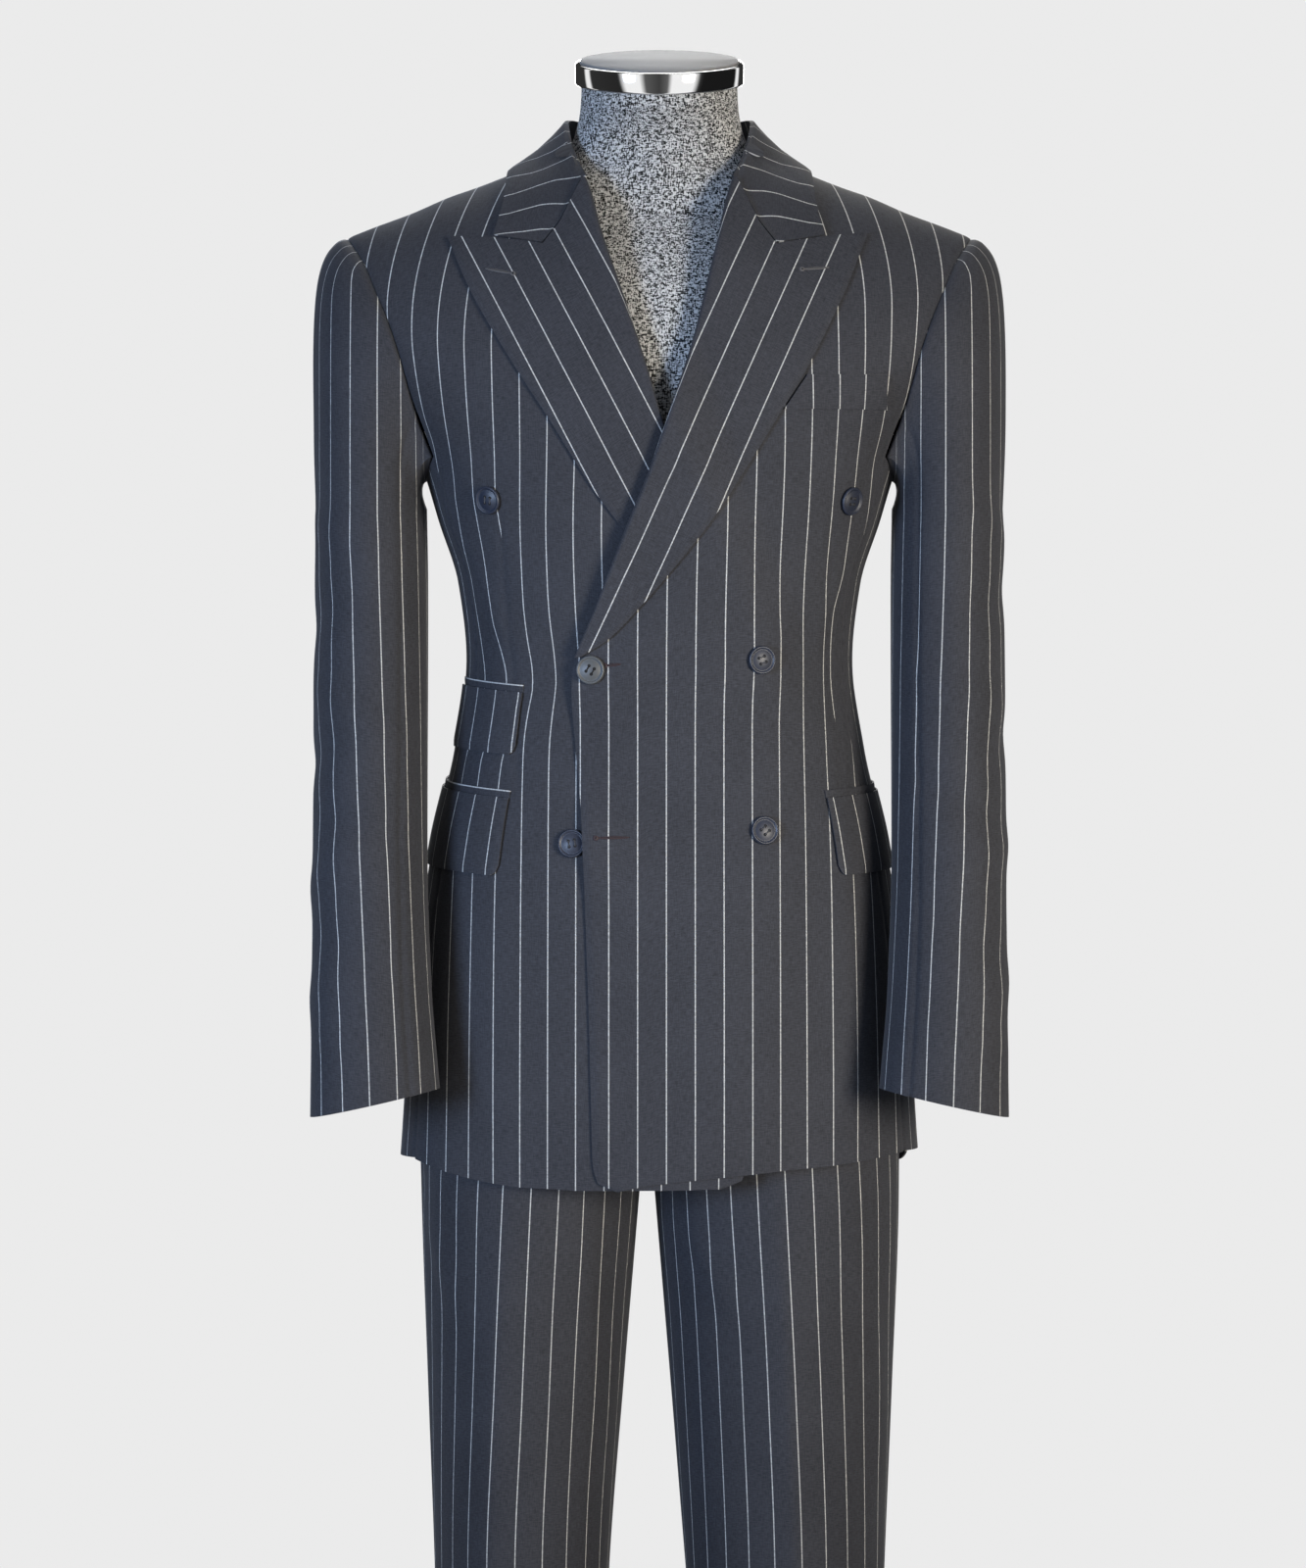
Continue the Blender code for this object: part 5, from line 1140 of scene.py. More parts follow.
def add_side(side):
    def surface(u, v):
        level = CHEST_LEVEL + 0.0 * v
        u = eased(u)
        for _ in range(8):
            back = back_seam_turn(level) - np.degrees(vent_gap(level) / ARC_RADIUS)
            turn = blend(FRONT_SEAM_TURN, back, u)
            reach = np.radians(back - turn) * ARC_RADIUS
            hem = front_hem[side](SIDE_HEM_X) + corner_rise(reach, VENT_CORNER)
            level = blend(hem, armhole_level(turn), v)
        base = body_point(side * turn, level)
        width = np.radians(back - FRONT_SEAM_TURN) * ARC_RADIUS
        height = seam_dip(u * width) + seam_dip((1.0 - u) * width) + jacket_crease(side * turn, level)
        cloth = arc_to(turn, level, FRONT_SEAM_TURN) + SIDE_PHASE
        return base, np.stack([cloth, up_the_cloth(base, base[0, :, 2])], axis=-1), height

    add_cloth("jacket_side_" + SUIT_WORD[side], 28, 90, surface, from_body, "draped", ["form_cover"])


def add_back(side):
    def surface(u, v):
        u = eased(u, GENTLE_EASE)
        rise, climb = row_place(v)
        level = CHEST_LEVEL + 0.0 * v
        for _ in range(8):
            seam = back_seam_turn(level) + np.degrees(vent_gap(level) / ARC_RADIUS)
            low_turn = blend(seam, 180.0, u)
            reach = np.radians(low_turn - seam) * ARC_RADIUS
            level = blend(BACK_HEM + corner_rise(reach, VENT_CORNER), CHEST_LEVEL, rise)
        share = climb / (pi / 2.0)
        for _ in range(8):
            outer_x = meet(armhole_x, climb, ARMHOLE[-1].x)
            outer = 180.0 - turn_of(outer_x, climb_height(outer_x, climb))
            high_turn = blend(outer, 180.0, u)
            point = body_point(high_turn, CHEST_LEVEL + climb * CLIMB_SCALE)
            x = np.abs(point[..., 0])
            tip = np.where(x < NECK_POINT_X, back_neck_tip(x), 0.0)
            climb = share * np.radians(90.0 + tip)
        high = share > 0.0
        turn = np.where(high, high_turn, low_turn)
        level = np.where(high, CHEST_LEVEL + climb * CLIMB_SCALE, level)
        base = body_point(side * turn, level)
        width = np.radians(180.0 - turn[:, :1]) * ARC_RADIUS
        height = seam_dip(u * width) + seam_dip((1.0 - u) * width, BACK_SEAM_DEPTH)
        height = height + jacket_crease(side * turn, level)
        cloth = -arc_to(turn, level, 180.0) + BACK_PHASE
        return base, np.stack([cloth, up_the_cloth(base, base[0, :, 2])], axis=-1), height

    add_cloth("jacket_back_" + SUIT_WORD[side], 70, 150, surface, from_body, "draped", ["form_cover"])


def polyline(points, part):
    place = np.clip(part, 0.0, 1.0) * (len(points) - 1)
    at = np.arange(len(points))
    return np.interp(place, at, [p.x for p in points]), np.interp(place, at, [p.z for p in points])


LAPEL_ROLL_SHARE = 0.10
LAPEL_TURN_GAP = 0.0002
LAPEL_NARROWEST = 0.01
LAPEL_EDGE_DEPTH = 0.0007
LAPEL_EDGE_REACH = 0.0020


def add_lapel(side):
    edge_rows = LEFT_LAPEL_EDGE if side > 0 else RIGHT_LAPEL_EDGE
    top_rows = LEFT_LAPEL_TOP if side > 0 else RIGHT_LAPEL_TOP
    free_edge = Curve(edge_rows, "z", "x")
    roll = edge_x[side]
    bottom, roll_top, peak = edge_rows[0].z, top_rows[0].z, edge_rows[-1].z
    angle = radians(LAPEL_STRIPE_ANGLE[side])

    def surface(u, v):
        wrap = np.clip(1.0 - u / LAPEL_ROLL_SHARE, 0.0, 1.0)
        u = np.clip((u - LAPEL_ROLL_SHARE) / (1.0 - LAPEL_ROLL_SHARE), 0.0, 1.0)
        roll_z = blend(bottom, roll_top, v)
        edge_z = blend(bottom, peak, v)
        x = blend(roll(roll_z), free_edge(edge_z), u)
        z = blend(roll_z, edge_z, u)
        top_x, top_z = polyline(top_rows, u)
        reach = v ** LAPEL_TOP_REACH
        x = x + reach * (top_x - blend(roll(roll_top), free_edge(peak), u))
        z = z + reach * (top_z - blend(roll_top, peak, u))
        roll_lift = LAPEL_ROLL * (1.0 - u) ** 2 * soft_step((v - LAPEL_ROLL_START[side]) / LAPEL_ROLL_RISE)
        lift = LAPEL_GAP + WALL + roll_lift
        radius = (lift - LAPEL_TURN_GAP) / 2.0
        phi = pi * wrap
        x = x - np.where(wrap > 0.0, radius * np.sin(phi), 0.0)
        lift = lift - np.where(wrap > 0.0, radius * (1.0 - np.cos(phi)), 0.0)
        width = np.maximum(free_edge(edge_z) - roll(roll_z), LAPEL_NARROWEST)
        lift = lift + seam_dip((1.0 - u) * width, LAPEL_EDGE_DEPTH, LAPEL_EDGE_REACH)
        base = on_front(side, x, z, lift)
        cloth = x * np.sin(angle) - z * np.cos(angle) + LAPEL_STRIPE_PHASE[side]
        cloth = cloth - wrap * pi * radius
        along = x * np.cos(angle) + z * np.sin(angle)
        return base, np.stack([cloth, along], axis=-1), 0.0 * u

    front_cloth_name = "jacket_front_" + SUIT_WORD[side] + "_cloth"
    add_cloth("lapel_" + SUIT_WORD[side], 60, 120, surface, from_body, "folded", [front_cloth_name])


def shoulder_point(x, tip, lift):
    climb = np.radians(90.0 - np.abs(tip))
    z = climb_height(x, climb)
    turn, level = place_of(x, z, back=tip < 0.0)
    return body_point(turn, level) + body_normal(turn, level) * lift


def stand_clear(point, gap):
    """Moves points out from the shoulders until they are this far off them."""
    x, y, z = point[..., 0], point[..., 1], point[..., 2]
    width = jacket_half_width(z)
    s = np.minimum(np.abs(x) / width, 1.0)
    depth = np.where(y < 0.0, jacket_front(z), jacket_back(z))
    depth = depth * np.maximum(1.0 - s ** ROUNDNESS, 1e-9) ** (1.0 / ROUNDNESS)
    height = shoulder_ridge(np.abs(x)) - CHEST_LEVEL
    over = z - CHEST_LEVEL
    share = np.sqrt((y / depth) ** 2 + (over / height) ** 2)
    needed = 1.0 + gap / np.sqrt(y ** 2 + over ** 2)
    grow = np.maximum(needed / share, 1.0)
    return vectors(x, y * grow, CHEST_LEVEL + over * grow)


def add_collar():
    seam_x, seam_tip = (Curve(NECK_SEAM, "along", axis) for axis in ("x", "tip"))
    fall_x, fall_tip = (Curve(COLLAR_EDGE, "along", axis) for axis in ("x", "tip"))
    fold_axes = [Curve(COLLAR_FOLD, "along", axis) for axis in "xyz"]
    end_rows = LEFT_LAPEL_TOP[:5]

    def fold(along):
        return np.stack([axis(along) for axis in fold_axes], axis=-1)

    def leaf(along, u):
        start = fold(along)
        stop = shoulder_point(fall_x(along), fall_tip(along), COLLAR_LIFT)
        part = u[..., None]
        point = blend(start, stop, part)
        end_x, end_z = polyline(end_rows, u)
        end = on_front(1, end_x + GORGE_GAP * (1.0 - u), end_z + GORGE_GAP, COLLAR_LIFT)
        last = np.ones_like(along)
        end_line = blend(fold(last), shoulder_point(fall_x(last), fall_tip(last), COLLAR_LIFT), part)
        shift = (end - end_line) * (along ** COLLAR_END_REACH)[..., None]
        return stand_clear(point + shift, COLLAR_LIFT), point, shift

    def surface(u, v):
        along = np.abs(2.0 * u - 1.0) * COLLAR_END_TRIM
        part = np.clip(v / COLLAR_STAND_SHARE, 0.0, 1.0)
        low = shoulder_point(seam_x(along), seam_tip(along), LAY_GAP)
        high = fold(along)
        inwards = unit(vectors(high[..., 0], high[..., 1] - COLLAR_AXIS_Y, 0.0))
        stand = blend(low, high, part[..., None]) - inwards * (COLLAR_FOLD_RADIUS * part ** 3)[..., None]
        across = np.clip((v - COLLAR_STAND_SHARE) / (1.0 - COLLAR_STAND_SHARE), 0.0, 1.0)
        outer, straight, shift = leaf(along, across)
        point = np.where((v < COLLAR_STAND_SHARE)[..., None], stand, outer)
        rounded = np.exp(-((v - COLLAR_STAND_SHARE) / COLLAR_FOLD_SPREAD) ** 2)
        point[..., 2] += COLLAR_FOLD_RISE * rounded
        hand = np.where(u < 0.5, -1.0, 1.0)
        point[..., 0] *= hand
        length = along_line(leaf(along[0], 0.5 + 0.0 * along[0])[1])
        length = np.abs(length - length[-1] / 2.0)
        forward = unit(np.gradient(straight, axis=1)) * hand[..., None]
        bent = (forward * shift).sum(axis=-1)
        slanted = COLLAR_STRIPE_SLANT * across * soft_step(along / COLLAR_SLANT_SPAN)
        stripe_place = hand * (length + bent + slanted) + COLLAR_PHASE
        cloth = np.stack([stripe_place, up_the_cloth(point, point[0, :, 2])], axis=-1)
        to_edge = (1.0 - v) * COLLAR_LEAF_WIDTH
        return point, cloth, seam_dip(to_edge, COLLAR_EDGE_DEPTH, COLLAR_EDGE_REACH)

    def outwards(points):
        around = from_body(points)
        leaf_side = np.linalg.norm(around, axis=-1, keepdims=True) > COLLAR_LEAF_DISTANCE
        return np.where(leaf_side, around, -around)

    back_cloths = ["jacket_back_left_cloth", "jacket_back_right_cloth"]
    add_cloth("collar", 180, 40, surface, outwards, "folded", back_cloths)


def sleeve_curves():
    return [Curve(SLEEVE_SECTIONS, "z", field) for field in SleeveSection._fields[1:]]


sleeve_centre_x, sleeve_half_width, sleeve_centre_y, sleeve_half_depth = sleeve_curves()


def armhole_loop():
    """The armhole seam as points, from the shoulder round the front and under."""
    share = np.arange(60) / 60.0
    climb = pi / 2.0 * (1.0 - share)
    x = meet(armhole_x, climb, ARMHOLE[-1].x)
    turn = turn_of(x, climb_height(x, climb))
    level = CHEST_LEVEL + climb * CLIMB_SCALE
    under = blend(FRONT_SEAM_TURN, 180.0 - FRONT_SEAM_TURN, share)
    back_turn = np.append(180.0 - turn[1:], 180.0 - FRONT_SEAM_TURN)[::-1]
    back_level = np.append(level[1:], CHEST_LEVEL)[::-1]
    points = body_point(
        np.concatenate([turn, under, back_turn]),
        np.concatenate([level, armhole_level(under), back_level]),
    )
    points = np.vstack([points, points[:1]])
    return points, along_line(points)


loop_points, loop_lengths = armhole_loop()


def armhole_point(around):
    target = np.mod(around, 360.0) / 360.0 * loop_lengths[-1]
    return np.stack([np.interp(target, loop_lengths, loop_points[:, i]) for i in range(3)], axis=-1)


def sleeve_ring(around, z):
    angle = np.radians(around)
    return vectors(
        sleeve_centre_x(z) + sleeve_half_width(z) * np.cos(angle),
        sleeve_centre_y(z) - sleeve_half_depth(z) * np.sin(angle),
        z,
    )


def sleeve_point(side, around, down):
    """A place on the sleeve: down is 0 at the armhole, 1 where the head ends and 2 at the cuff."""
    outer = np.cos(np.radians(around))
    forward = np.sin(np.radians(around))
    start = armhole_point(around)
    outside = np.maximum(outer, 0.0)
    slant = HEAD_RISE_UNDER * np.minimum(outer, 0.0) - HEAD_DROP_OUTSIDE * outside
    away = unit(vectors(1.0, -HEAD_LEAN * forward, slant))
    start = start + away * SLEEVE_TUCK
    end = sleeve_ring(around, SLEEVE_START + 0.0 * around)
    reach = HEAD_REACH + HEAD_REACH_OUT * outer + HEAD_REACH_OUTSIDE * outside
    first = start + away * reach[..., None]
    aside = HEAD_END_OUT * outer + HEAD_END_OUTSIDE * outside
    second = end + vectors(aside, 0.0, HEAD_END_HEIGHT + HEAD_END_HEIGHT_OUT * outer)
    part = np.clip(down, 0.0, 1.0)[..., None]
    rest = 1.0 - part
    head = start * rest ** 3 + first * 3.0 * part * rest ** 2
    head = head + second * 3.0 * part ** 2 * rest + end * part ** 3
    cuff = CUFF_LEVEL - CUFF_SLANT * outer
    arm = sleeve_ring(around, blend(SLEEVE_START, cuff, np.clip(down - 1.0, 0.0, 1.0)))
    point = np.where((down <= 1.0)[..., None], head, arm)
    return point * np.array([side, 1.0, 1.0])


# The way round the arm's top, from its outermost line to its innermost
ring_turns = np.linspace(0.0, 180.0, 181)
ring_lengths = along_line(sleeve_ring(ring_turns, SLEEVE_START + 0.0 * ring_turns))


def hanging_place(side, around, down):
    """A place across the sleeve's stripes by x alone: upright in front and behind."""
    x = side * sleeve_point(side, around, down)[..., 0]
    share = (x - sleeve_centre_x(SLEEVE_START)) / sleeve_half_width(SLEEVE_START)
    arc = np.interp(np.degrees(np.arccos(np.clip(share, -1.0, 1.0))), ring_turns, ring_lengths)
    return np.where(around > 180.0, 2.0 * ring_lengths[-1] - arc, arc * np.sign(around))


def sleeve_arc(side, around, down, steps=32):
    """The cloth's place across a sleeve's stripes, kept upright to the armhole seam."""
    total, before = 0.0, sleeve_point(side, 0.0 * around, down)
    for i in range(1, steps + 1):
        after = sleeve_point(side, around * i / steps, down)
        total = total + np.linalg.norm(after - before, axis=-1)
        before = after
    turned = np.minimum(np.abs(around), 360.0 - np.abs(around))
    in_head = soft_step((HEAD_UPRIGHT_END - down) / HEAD_UPRIGHT_SPAN)
    upright = in_head * soft_step((turned - OUTERMOST_TURN) / OUTERMOST_SPAN)
    return blend(np.sign(around) * total, hanging_place(side, around, down), upright)


def sleeve_back_seam(down):
    return blend(SLEEVE_BACK_SEAM_TOP, SLEEVE_BACK_SEAM_CUFF, soft_step(down / 2.0))


def add_sleeve(side):
    def lay(u, v, first_edge, second_edge):
        down_arm = 1.0 + (v - SLEEVE_HEAD_ROWS) / (1.0 - SLEEVE_HEAD_ROWS)
        down = np.where(v <= SLEEVE_HEAD_ROWS, v / SLEEVE_HEAD_ROWS, down_arm)
        u = eased(u)
        around = blend(first_edge(down), second_edge(down), u)
        base = sleeve_point(side, around, down)
        size = 0.5 * (sleeve_half_width(base[..., 2]) + sleeve_half_depth(base[..., 2]))
        arc = sleeve_arc(side, around, down) + SLEEVE_PHASE[side]
        width = np.radians(second_edge(down) - first_edge(down)) * size
        wrapped = np.radians(np.mod(around + 180.0, 360.0) - 180.0) * SLEEVE_WRAP_RADIUS
        height = SLEEVE_CREASE_SHARE * crease_height(SLEEVE_CREASES[side], wrapped, base[..., 2])
        height = height * soft_step(down / SLEEVE_CREASES_START)
        height = height * soft_step((2.0 - down) / SLEEVE_CREASES_CUFF_FADE)
        for to_seam in (u * width, (1.0 - u) * width):
            height = height + seam_dip(to_seam, SLEEVE_SEAM_DEPTH, SLEEVE_SEAM_REACH)
        height = height - HEAD_SEAM_DEPTH * np.exp(-(down / HEAD_SEAM_REACH) ** 2)
        on_top = 0.5 + 0.5 * np.cos(np.radians(around))
        roping = ROPING_HEIGHT * np.exp(-((down - ROPING_DOWN) / ROPING_REACH) ** 2) * on_top
        cloth = np.stack([arc, base[0, :, 2] - up_the_cloth(base, 0.0)], axis=-1)
        return base, cloth, height + roping

    def front_seam(down):
        return SLEEVE_FRONT_SEAM + 0.0 * down

    def upper(u, v):
        return lay(u, v, sleeve_back_seam, front_seam)

    def under(u, v):
        return lay(u, v, front_seam, lambda down: 360.0 + sleeve_back_seam(down))

    def from_arm(points):
        z = points[..., 2]
        centre = vectors(side * sleeve_centre_x(z), sleeve_centre_y(z), z)
        return points - centre

    word = SUIT_WORD[side]
    front_cloth_name = "jacket_front_" + word + "_cloth"
    add_cloth("sleeve_upper_" + word, 60, 150, upper, from_arm, "hung", [front_cloth_name])
    add_cloth("sleeve_under_" + word, 48, 150, under, from_arm, "hung", [front_cloth_name])


def pocket_piece(piece, top_rise, bottom_drop, lift, corner, along_edge):
    def surface(u, v):
        turn = blend(piece.turn_front, piece.turn_back, u)
        mouth = blend(piece.level_front, piece.level_back, u)
        reach = np.radians(np.minimum(u, 1.0 - u) * (piece.turn_back - piece.turn_front)) * POCKET_ARC_RADIUS
        bottom = mouth - bottom_drop + corner_rise(reach, corner)
        level = blend(bottom, mouth + top_rise, v)
        rolled = seam_dip(reach, POCKET_EDGE_DEPTH, POCKET_EDGE_REACH)
        rolled = rolled + seam_dip(level - bottom, POCKET_EDGE_DEPTH, POCKET_EDGE_REACH)
        base = on_body(piece.side * turn, level, lift + 0.0 * turn)
        if along_edge:
            up = level - mouth - top_rise + piece.welt_stripe
            cloth = np.stack([up, np.radians(turn) * POCKET_ARC_RADIUS], axis=-1)
        else:
            middle = mouth - bottom_drop / 2.0
            place = arc_to(turn, middle, piece.turn_front) - piece.first_stripe
            place = place - piece.stripe_slant * (level - mouth)
            cloth = np.stack([place, level], axis=-1)
        return base, cloth, rolled

    return surface


def add_pockets():
    for piece in POCKET_PIECES:
        under = "jacket_front_" + SUIT_WORD[piece.side] + "_cloth"
        flap_lift = LAY_GAP + FLAP_WALL + FLAP_SPRING
        flap = pocket_piece(piece, -SEAT_GAP, piece.height, flap_lift, FLAP_CORNER, False)
        add_cloth(piece.name, 72, 26, flap, from_body, "laid", [under], FLAP_WALL)
        welt = pocket_piece(piece, WELT_HEIGHT, 0.0, LAY_GAP + WELT_WALL, 0.0, True)
        add_cloth(piece.name.replace("flap", "welt"), 72, 5, welt, from_body, "laid", [under], WELT_WALL)

    front, back = CHEST_WELT_FRONT, CHEST_WELT_BACK

    def chest(u, v):
        x = blend(blend(front.x_bottom, back.x_bottom, u), blend(front.x_top, back.x_top, u), v)
        z = blend(blend(front.z_bottom, back.z_bottom, u), blend(front.z_top, back.z_top, u), v)
        turn, level = place_of(x, z)
        base = on_front(1, x, z, LAY_GAP + FLAP_WALL + 0.0 * u)
        return base, np.stack([front_cloth(1, turn, level), z], axis=-1), 0.0 * u

    add_cloth("chest_welt", 40, 14, chest, from_body, "laid", ["jacket_front_left_cloth"], FLAP_WALL)


hip_half_width = Curve(HIP_SECTIONS, "z", "half_width")
hip_front = Curve(HIP_SECTIONS, "z", "front")
hip_back = Curve(HIP_SECTIONS, "z", "back")
leg_front = Curve(LEG_SECTIONS, "z", "front")
leg_back = Curve(LEG_SECTIONS, "z", "back")
leg_in = {1: Curve(LEG_SECTIONS, "z", "left_in"), -1: Curve(LEG_SECTIONS, "z", "right_in")}
leg_out = {1: Curve(LEG_SECTIONS, "z", "left_out"), -1: Curve(LEG_SECTIONS, "z", "right_out")}
leg_crease = {1: Curve(LEG_SECTIONS, "z", "left_crease"), -1: Curve(LEG_SECTIONS, "z", "right_crease")}
LEG_PHASE = {1: 0.0045, -1: 0.0}


def trouser_point(side, back, across, z):
    facing = 1.0 if back else -1.0
    fork = soft_step((FORK_TOP - z) / (FORK_TOP - CROTCH_LEVEL))
    angle = np.radians(90.0 * (1.0 - across))
    s = np.sin(angle) ** (2.0 / HIP_ROUNDNESS)
    c = np.maximum(np.cos(angle), 0.0) ** (2.0 / HIP_ROUNDNESS)
    centre_x = side * TROUSER_CENTRE_X * fork
    hip_depth = hip_back(z) if back else hip_front(z)
    hip = vectors(centre_x * (1.0 - s) + s * hip_half_width(z), facing * c * hip_depth, z)
    inner, outer = leg_in[side](z), leg_out[side](z)
    middle, half = (inner + outer) / 2.0, (outer - inner) / 2.0
    angle = np.radians(90.0 - 180.0 * across)
    depth = leg_back(z) if back else leg_front(z)
    crease_angle = np.arcsin((leg_crease[side](z) - middle) / half)
    away = np.sqrt((angle - crease_angle) ** 2 + CREASE_ROUNDING)
    ridge = CREASE_HEIGHT * np.exp(-away / CREASE_REACH) * np.cos(angle)
    ridge = ridge * blend(1.0, CREASE_UNDER_JACKET, soft_step((z - CREASE_FADE_LEVEL) / CREASE_FADE_HEIGHT))
    leg = vectors(middle + half * np.sin(angle), facing * (depth * np.cos(angle) + ridge), z)
    point = blend(hip, leg, fork[..., None])
    return point * np.array([side, 1.0, 1.0])


def crease_place(side, z):
    inner, outer = leg_in[side](z), leg_out[side](z)
    offset = (leg_crease[side](z) - (inner + outer) / 2.0) / ((outer - inner) / 2.0)
    return (pi / 2.0 - np.arcsin(offset)) / pi


def add_trousers(side):
    def from_leg(points):
        z = points[..., 2]
        middle = (leg_in[side](z) + leg_out[side](z)) / 2.0
        axis = np.where(z < FORK_TOP, side * middle, 0.0)
        return vectors(points[..., 0] - axis, points[..., 1], 0.0)

    for back in (False, True):

        def surface(u, v, back=back):
            hem = TROUSER_HEM - (TROUSER_HEM_DROP if back else 0.0)
            z = blend(hem, BAND_BOTTOM, v)
            crease = crease_place(side, z)
            across = np.where(u <= 0.5, blend(0.0, crease, 2.0 * u), blend(crease, 1.0, 2.0 * u - 1.0))
            base = trouser_point(side, back, across, z)
            arc = along_rows(base)
            arc = arc - arc[:, [u.shape[1] // 2]]
            around = LEG_BACK_CREASES_SHIFT - arc if back else arc
            height = crease_height(LEG_CREASES, around * side, z)
            to_edge = np.minimum(arc - arc[:, :1], arc[:, -1:] - arc)
            keep = soft_step(to_edge / LEG_SEAM_CLEAR)
            keep = keep * soft_step((LEG_CREASES_TOP - z) / LEG_CREASES_FADE)
            height = height * keep + seam_dip(to_edge, LEG_SEAM_DEPTH, LEG_SEAM_REACH)
            return base, np.stack([arc + LEG_PHASE[side], z], axis=-1), height

        kind = "back" if back else "front"
        add_cloth(f"trouser_{kind}_{SUIT_WORD[side]}", 60, 150, surface, from_leg, "hung", ["form_cover"])


def add_waistband():
    def surface(u, v):
        z = blend(BAND_BOTTOM, BAND_TOP, v)
        angle = 2.0 * pi * u
        s = signed_power(np.sin(angle), 2.0 / HIP_ROUNDNESS)
        c = signed_power(np.cos(angle), 2.0 / HIP_ROUNDNESS)
        depth = np.where(c > 0.0, hip_front(z), hip_back(z))
        base = vectors(s * hip_half_width(z), -c * depth, z)
        return base, np.stack([along_rows(base), z], axis=-1), 0.0 * u

    add_cloth("waistband", 128, 8, surface, from_body, "stretched", ["form_cover"], closed=True)


def add_form():
    rows = list(FORM_SECTIONS)
    for x in SHOULDER_CONTACT_X:
        z = float(shoulder_ridge(x)) - FORM_CLEARANCE
        rows.append(FormSection(z, x, SHOULDER_DEPTH_FRONT, SHOULDER_DEPTH_BACK, 0.0, SHOULDER_ROUNDNESS))
    rows += NECK_SECTIONS
    half_width, front, back, centre_y, roundness = (
        Curve(rows, "z", field) for field in FormSection._fields[1:]
    )
    columns = 96
    low = np.linspace(FORM_BOTTOM, FORM_SECTIONS[-1].z, 60)
    high = np.linspace(FORM_SECTIONS[-1].z, NECK_TOP, 60)[1:]
    levels = np.concatenate([low, high])

    bm = bmesh.new()
    bmesh.ops.create_grid(bm, x_segments=columns, y_segments=len(levels) - 1, size=1.0)
    for vert in bm.verts:
        angle = pi * (vert.co.x + 1.0)
        z = levels[round((vert.co.y + 1.0) / 2.0 * (len(levels) - 1))]
        power = 2.0 / roundness(z)
        s = signed_power(sin(angle), power)
        c = signed_power(cos(angle), power)
        depth = front(z) if c > 0.0 else back(z)
        y = centre_y(z) - c * depth
        on_neck = soft_step((z - NECK_ROOT) / (NECK_TOP - NECK_ROOT))
        vert.co = (s * half_width(z), y, z + (y - centre_y(z)) * tan(radians(NECK_TILT)) * on_neck)
    bmesh.ops.remove_doubles(bm, verts=bm.verts, dist=SAME_POINT)
    bmesh.ops.holes_fill(bm, edges=bm.edges, sides=0)
    bmesh.ops.recalc_face_normals(bm, faces=bm.faces)
    mesh = finished_mesh("form_cover", bm, SHARP_ANGLE)
    cover = show("form_cover", mesh, [HEATHER], ["form_body"])


def turned(profile, segments):
    """A turned solid: the profile's points are (radius, height), from top to bottom."""
    bm = bmesh.new()
    verts = [bm.verts.new((radius, 0.0, height)) for radius, height in profile]
    edges = [bm.edges.new(pair) for pair in zip(verts, verts[1:])]
    bmesh.ops.spin(
        bm, geom=verts + edges, cent=(0.0, 0.0, 0.0), axis=(0.0, 0.0, 1.0),
        angle=2.0 * pi, steps=segments, use_merge=True,
    )
    bmesh.ops.remove_doubles(bm, verts=bm.verts, dist=SAME_POINT)
    bmesh.ops.recalc_face_normals(bm, faces=bm.faces)
    return bm


def turned_mesh(name, profile, segments, place=None):
    bm = turned(profile, segments)
    if place is not None:
        bm.transform(place)
    return finished_mesh(name, bm, SHARP_ANGLE)


def seat_matrix(point, normal, spin=0.0):
    turn = Vector(normal).to_track_quat("Z", "Y").to_matrix().to_4x4()
    return Matrix.Translation(point) @ turn @ Matrix.Rotation(spin, 4, "Z")


def add_button(name, radius, thickness, place, horn, thread):
    """A button with a raised rim, a groove inside it, four holes that are discs of painted shade, and two
    bars of thread.
    """
    dish = 0.70 * thickness
    profile = (
        (0.0, dish), (0.66 * radius, dish), (0.72 * radius, 0.52 * thickness),
        (0.78 * radius, 0.52 * thickness), (0.84 * radius, 0.86 * thickness),
        (0.90 * radius, thickness), (0.96 * radius, 0.90 * thickness), (radius, 0.62 * thickness),
        (radius, 0.30 * thickness), (0.92 * radius, 0.08 * thickness), (0.84 * radius, 0.0), (0.0, 0.0),
    )
    bm = turned(profile, 48)
    body = set(bm.faces)
    hole_off = BUTTON_HOLE_OFF * radius
    # Each hole is a flat near-black disc of painted shade lying on the dish
    for x in (-hole_off, hole_off):
        for y in (-hole_off, hole_off):
            bmesh.ops.create_circle(
                bm, cap_ends=True, segments=12, radius=BUTTON_HOLE_RADIUS * radius,
                matrix=Matrix.Translation((x, y, dish + HOLE_LIFT)),
            )
    holes = set(bm.faces) - body
    for y in (-hole_off, hole_off):
        bmesh.ops.create_cone(
            bm, cap_ends=True, segments=8, radius1=BUTTON_THREAD_RADIUS * radius,
            radius2=BUTTON_THREAD_RADIUS * radius, depth=2.0 * hole_off,
            matrix=Matrix.Translation((0.0, y, dish + THREAD_LIFT)) @ Matrix.Rotation(pi / 2.0, 4, "Y"),
        )
    for face in bm.faces:
        face.material_index = 0 if face in body else (1 if face in holes else 2)
    bm.transform(place)
    mesh = finished_mesh(name, bm, BUTTON_SHARP_ANGLE)
    show(name + "_horn", mesh, [horn, HOLE_SHADE, thread], [name])


